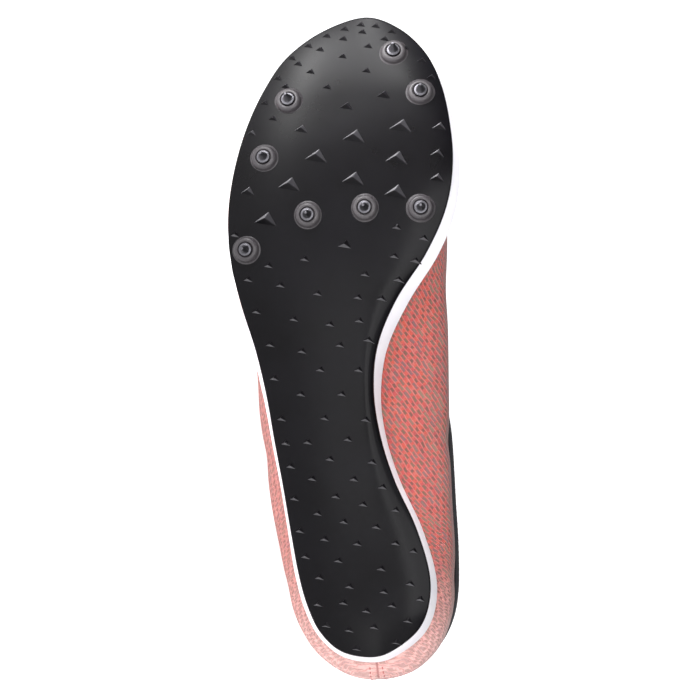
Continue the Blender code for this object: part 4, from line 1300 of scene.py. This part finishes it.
def lace_length(start, end, lift):
    """One flat woven length, oval in section, over the tongue from one eyelet into the other."""
    heading = np.array((end[0] - start[0], end[1] - start[1]))
    heading = heading / np.hypot(*heading)
    side = np.array((-heading[1], heading[0])) * 0.5 * LACE_WIDTH
    rise = OVERLAY_CLEARANCE + OVERLAY_THICK + LACE_CLEARANCE + 0.5 * LACE_THICK

    def place(column, row):
        share = row / LACE_STEPS
        x = start[0] + (end[0] - start[0]) * share
        y = start[1] + (end[1] - start[1]) * share
        near = min(share, 1 - share)
        dive = max(0.0, 1 - near / 0.07)
        hump = math.sin(math.pi * share) ** 2
        narrow = 1.0 - 0.45 * dive
        angle = math.tau * column / LACE_SIDES
        wide = math.copysign(abs(math.cos(angle)) ** 0.6, math.cos(angle)) * narrow
        deep = 0.5 * LACE_THICK * math.copysign(abs(math.sin(angle)) ** 0.8, math.sin(angle))
        level = rise + lift * hump - 0.0016 * dive**2 + deep
        return saddle(x + wide * side[0], y + wide * side[1], -level)

    form = grid(LACE_SIDES, LACE_STEPS, place,
                lambda c, r: (6.0 * c / LACE_SIDES, r * 0.9))
    bmesh.ops.remove_doubles(form, verts=form.verts, dist=1e-6)
    bmesh.ops.holes_fill(form, edges=[e for e in form.edges if e.is_boundary], sides=0)
    bmesh.ops.recalc_face_normals(form, faces=form.faces)
    return form


lace_form = bmesh.new()
lace_form.from_mesh(to_template(lace_length(eyelet(0, -1), eyelet(0, 1), 0.0), "lace_bar"))
for pair in range(EYELET_PAIRS - 1):
    for side in (-1, 1):
        length_form = lace_length(eyelet(pair, side), eyelet(pair + 1, -side),
                                  LACE_THICK * (0.55 + 0.55 * side))
        lace_form.from_mesh(to_template(length_form, "lace_length"))
lace = finished("flat_lace", lace_form, [LACING], weld=0)
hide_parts("lace")

# Eyelets: a stitched rim round each hole

ring_profile = arc((0.0026, 0.0), 0.0006, 180, 0, 8) + [(0.0032, -0.0009), (0.0020, -0.0009), (0.0020, 0.0)]
ring_template = to_template(spun(ring_profile, 28), "ring_template")
ring_frames = []
for pair in range(EYELET_PAIRS):
    for side in (-1, 1):
        x, y = eyelet(pair, side)
        centre = saddle(x, y, -(OVERLAY_CLEARANCE + OVERLAY_THICK))
        up = (centre - saddle(x, y, 0.0)).normalized()
        ring_frames.append(standing(centre, up))
eyelets = finished("eyelet_rims", stamped(ring_template, ring_frames), [FILM], weld=0)

# Stitching: single stitches of thread, each a small bead laid along its seam

STITCH_PITCH = 2.4 * MM
STITCH_SIZE = (0.85 * MM, 0.28 * MM, 0.22 * MM)

stitch_form = bmesh.new()
bmesh.ops.create_uvsphere(stitch_form, u_segments=8, v_segments=6, radius=1.0)
bmesh.ops.scale(stitch_form, vec=STITCH_SIZE, verts=stitch_form.verts)
stitch_template = to_template(stitch_form, "stitch_template")


def stitch_frames(path):
    """Frames of the stitches along a path of points, each with the direction out of the surface."""
    frames = []
    travelled = 0.0
    for (a, normal), (b, _) in zip(path, path[1:]):
        step = (b - a).length
        while step > 1e-9 and travelled + step >= (len(frames) + 0.5) * STITCH_PITCH:
            share = ((len(frames) + 0.5) * STITCH_PITCH - travelled) / step
            heading = (b - a).normalized()
            side = normal.cross(heading).normalized()
            turn = Matrix((heading, side, heading.cross(side))).transposed().to_4x4()
            frames.append(Matrix.Translation(a.lerp(b, share)) @ turn)
        travelled += step
    return frames


def overlay_path(steps, parameter):
    """Points on an overlay's face at a parameter on each fine ray."""
    path = []
    for step in steps:
        t = parameter(ray_at(step))
        low = above(step, t, OVERLAY_CLEARANCE + OVERLAY_THICK)
        path.append((low, (above(step, t, 2 * OVERLAY_THICK + OVERLAY_CLEARANCE) - low).normalized()))
    return path


STITCH_INSET = 1.8 * MM

frames = stitch_frames(overlay_path(
    collar_steps, lambda ray: edge_parameter(ray, COLLAR_BAND_WIDTH - STITCH_INSET)))
for steps in (list(range(first + 2, last - 1)), [RAY_STEPS - s for s in range(last - 2, first + 1, -1)]):
    frames += stitch_frames(overlay_path(
        steps, lambda ray: across(ray, eyestay_half(ray[0][0]) - STITCH_INSET)))
stitching = finished("overlay_stitches", stamped(stitch_template, frames), [THREAD], weld=0)

frames = []
for column in (1, RAY_STEPS - 3):
    frames += stitch_frames([(upper_place(column, row), wall_normal(column, row))
                             for row in range(6, WALL_ROWS - 22)])
heel_stitching = finished("heel_seam_stitches", stamped(stitch_template, frames), [THREAD], weld=0)

# Camera, at the photograph's angle to the shoe: it looks at the sole, a little from the arch side and a
# little from the heel, toe up. The frame is 289.2 mm wide at the sole.

VIEW_TO_INNER = math.radians(6.0)
VIEW_TO_HEEL = math.radians(3.5)
VIEW_LEAN = math.radians(1.68)
VIEW_DISTANCE = 2.4
VIEW_WIDTH = 0.2892
VIEW_CENTRE = Vector((0.1270, -0.0034, 0.0))

turn = REST.to_3x3()
towards = turn @ Vector((-math.tan(VIEW_TO_HEEL), math.tan(VIEW_TO_INNER), -1.0)).normalized()
toe = turn @ Vector((1.0, 0.0, 0.0))
toe = (toe - towards * toe.dot(towards)).normalized()
right = toe.cross(towards)
up = toe * math.cos(VIEW_LEAN) + right * math.sin(VIEW_LEAN)
right = up.cross(towards)
centre = REST @ VIEW_CENTRE
camera_data = bpy.data.cameras.new("camera")
camera_data.sensor_width = 36.0
camera_data.lens = 36.0 * VIEW_DISTANCE / VIEW_WIDTH
camera_data.clip_end = 20.0
camera = bpy.data.objects.new("camera", camera_data)
pose = Matrix((right, up, towards)).transposed().to_4x4()
pose.translation = centre + towards * VIEW_DISTANCE
camera.matrix_world = pose
bpy.context.scene.collection.objects.link(camera)
bpy.context.scene.camera = camera

# A lit floor of white acrylic with a low wall round it, and soft lights

FLOOR_RADIUS = 6.0
WALL_HEIGHT = 1.6
WALL_CURVE = 0.5
FLOOR_SIDES = 96

# The floor's even glow, the lamps under it and, at negative levels, painted shade that dims the floor and
# the wall towards the heel: place, turn, reach along and across, level
FLOOR_GLOW = 0.95
GLOW_AND_PAINTED_SHADE_PANELS = (
    (-0.42, -0.23, 28.0, 0.19, 0.09, 40.0),
    (0.01, -0.37, 0.0, 0.05, 0.14, 4.2),
    (0.27, -0.25, 0.0, 0.10, 0.12, 4.4),
    # Painted shade: these two darken the floor and the wall beyond the heel
    (1.50, -0.40, 0.0, 0.90, 0.40, -0.8),
    (6.00, -0.50, 0.0, 3.00, 1.50, -0.9),
)

line = [(0.0, 0.0), (1.0, 0.0), (FLOOR_RADIUS - WALL_CURVE, 0.0)]
line += arc((FLOOR_RADIUS - WALL_CURVE, WALL_CURVE), WALL_CURVE, -75, 0, 5)
line += [(FLOOR_RADIUS, WALL_HEIGHT)]
studio_mesh = to_template(spun(line, FLOOR_SIDES), "studio_floor")
studio_mesh.shade_smooth()
# Opal acrylic sheet, lit evenly from below, brighter over the lamps and dimmed by painted shade towards the
# heel
acrylic = finish("lit_white_acrylic", 0.9, Specular_IOR_Level=0.1, Emission_Color=(1.0, 1.0, 1.0, 1.0))
tint = node(acrylic, "TexNoise", {"Vector": object_place(acrylic, 1.0), "Scale": 3.0})
node(acrylic, "ValToRGB", tint, stops=((0.0, "#f2f2f2"), (1.0, "#f6f6f6")), to="Base Color")
place = node(acrylic, "TexCoord", out="Object")
glow = FLOOR_GLOW
for x, y, turn, run, wide, level in GLOW_AND_PAINTED_SHADE_PANELS:
    panel = {"Vector": place, "Location": (x, y, 0.0), "Rotation": (0.0, 0.0, math.radians(turn)),
             "Scale": (run, wide, 1.0)}
    spot = node(acrylic, "Mapping", panel, vector_type="TEXTURE")
    far = node(acrylic, "VectorMath LENGTH", spot, out="Value")
    squared = node(acrylic, "Math MULTIPLY", far, far)
    fall = node(acrylic, "Math POWER", math.e, node(acrylic, "Math MULTIPLY", squared, -1.0))
    glow = node(acrylic, "Math MULTIPLY_ADD", fall, level, glow)
feed(acrylic, glow, "Emission Strength")
studio_mesh.materials.append(acrylic)
floor = bpy.data.objects.new("studio_floor", studio_mesh)
bpy.context.scene.collection.objects.link(floor)


def softbox(name, place, target, width, height, power):
    """A white rectangular area light turned towards a point."""
    lamp = bpy.data.lights.new(name, "AREA")
    lamp.shape = "RECTANGLE"
    lamp.size = width
    lamp.size_y = height
    lamp.energy = power
    item = bpy.data.objects.new(name, lamp)
    aim = (Vector(target) - Vector(place)).to_track_quat("-Z", "Y")
    item.matrix_world = Matrix.Translation(place) @ aim.to_matrix().to_4x4()
    bpy.context.scene.collection.objects.link(item)


SHOE_MIDDLE = (0.0, 0.0, 0.05)
softbox("toe_softbox", (-0.92, -0.46, 0.10), (-0.10, -0.03, 0.05), 0.5, 0.16, 6.0)
softbox("front_softbox", (0.15, -1.8, 0.75), SHOE_MIDDLE, 1.6, 1.2, 27.0)
softbox("overhead_softbox", (0.1, -1.0, 1.4), SHOE_MIDDLE, 1.6, 1.2, 7.0)
softbox("rear_softbox", (0.2, 1.3, 1.2), SHOE_MIDDLE, 1.0, 0.8, 3.0)

world = bpy.data.worlds.new("studio")
world.use_nodes = True
world.node_tree.nodes["Background"].inputs["Color"].default_value = linear("#d8d9dc")
world.node_tree.nodes["Background"].inputs["Strength"].default_value = 0.18
bpy.context.scene.world = world
bpy.context.scene.view_settings.view_transform = "Standard"
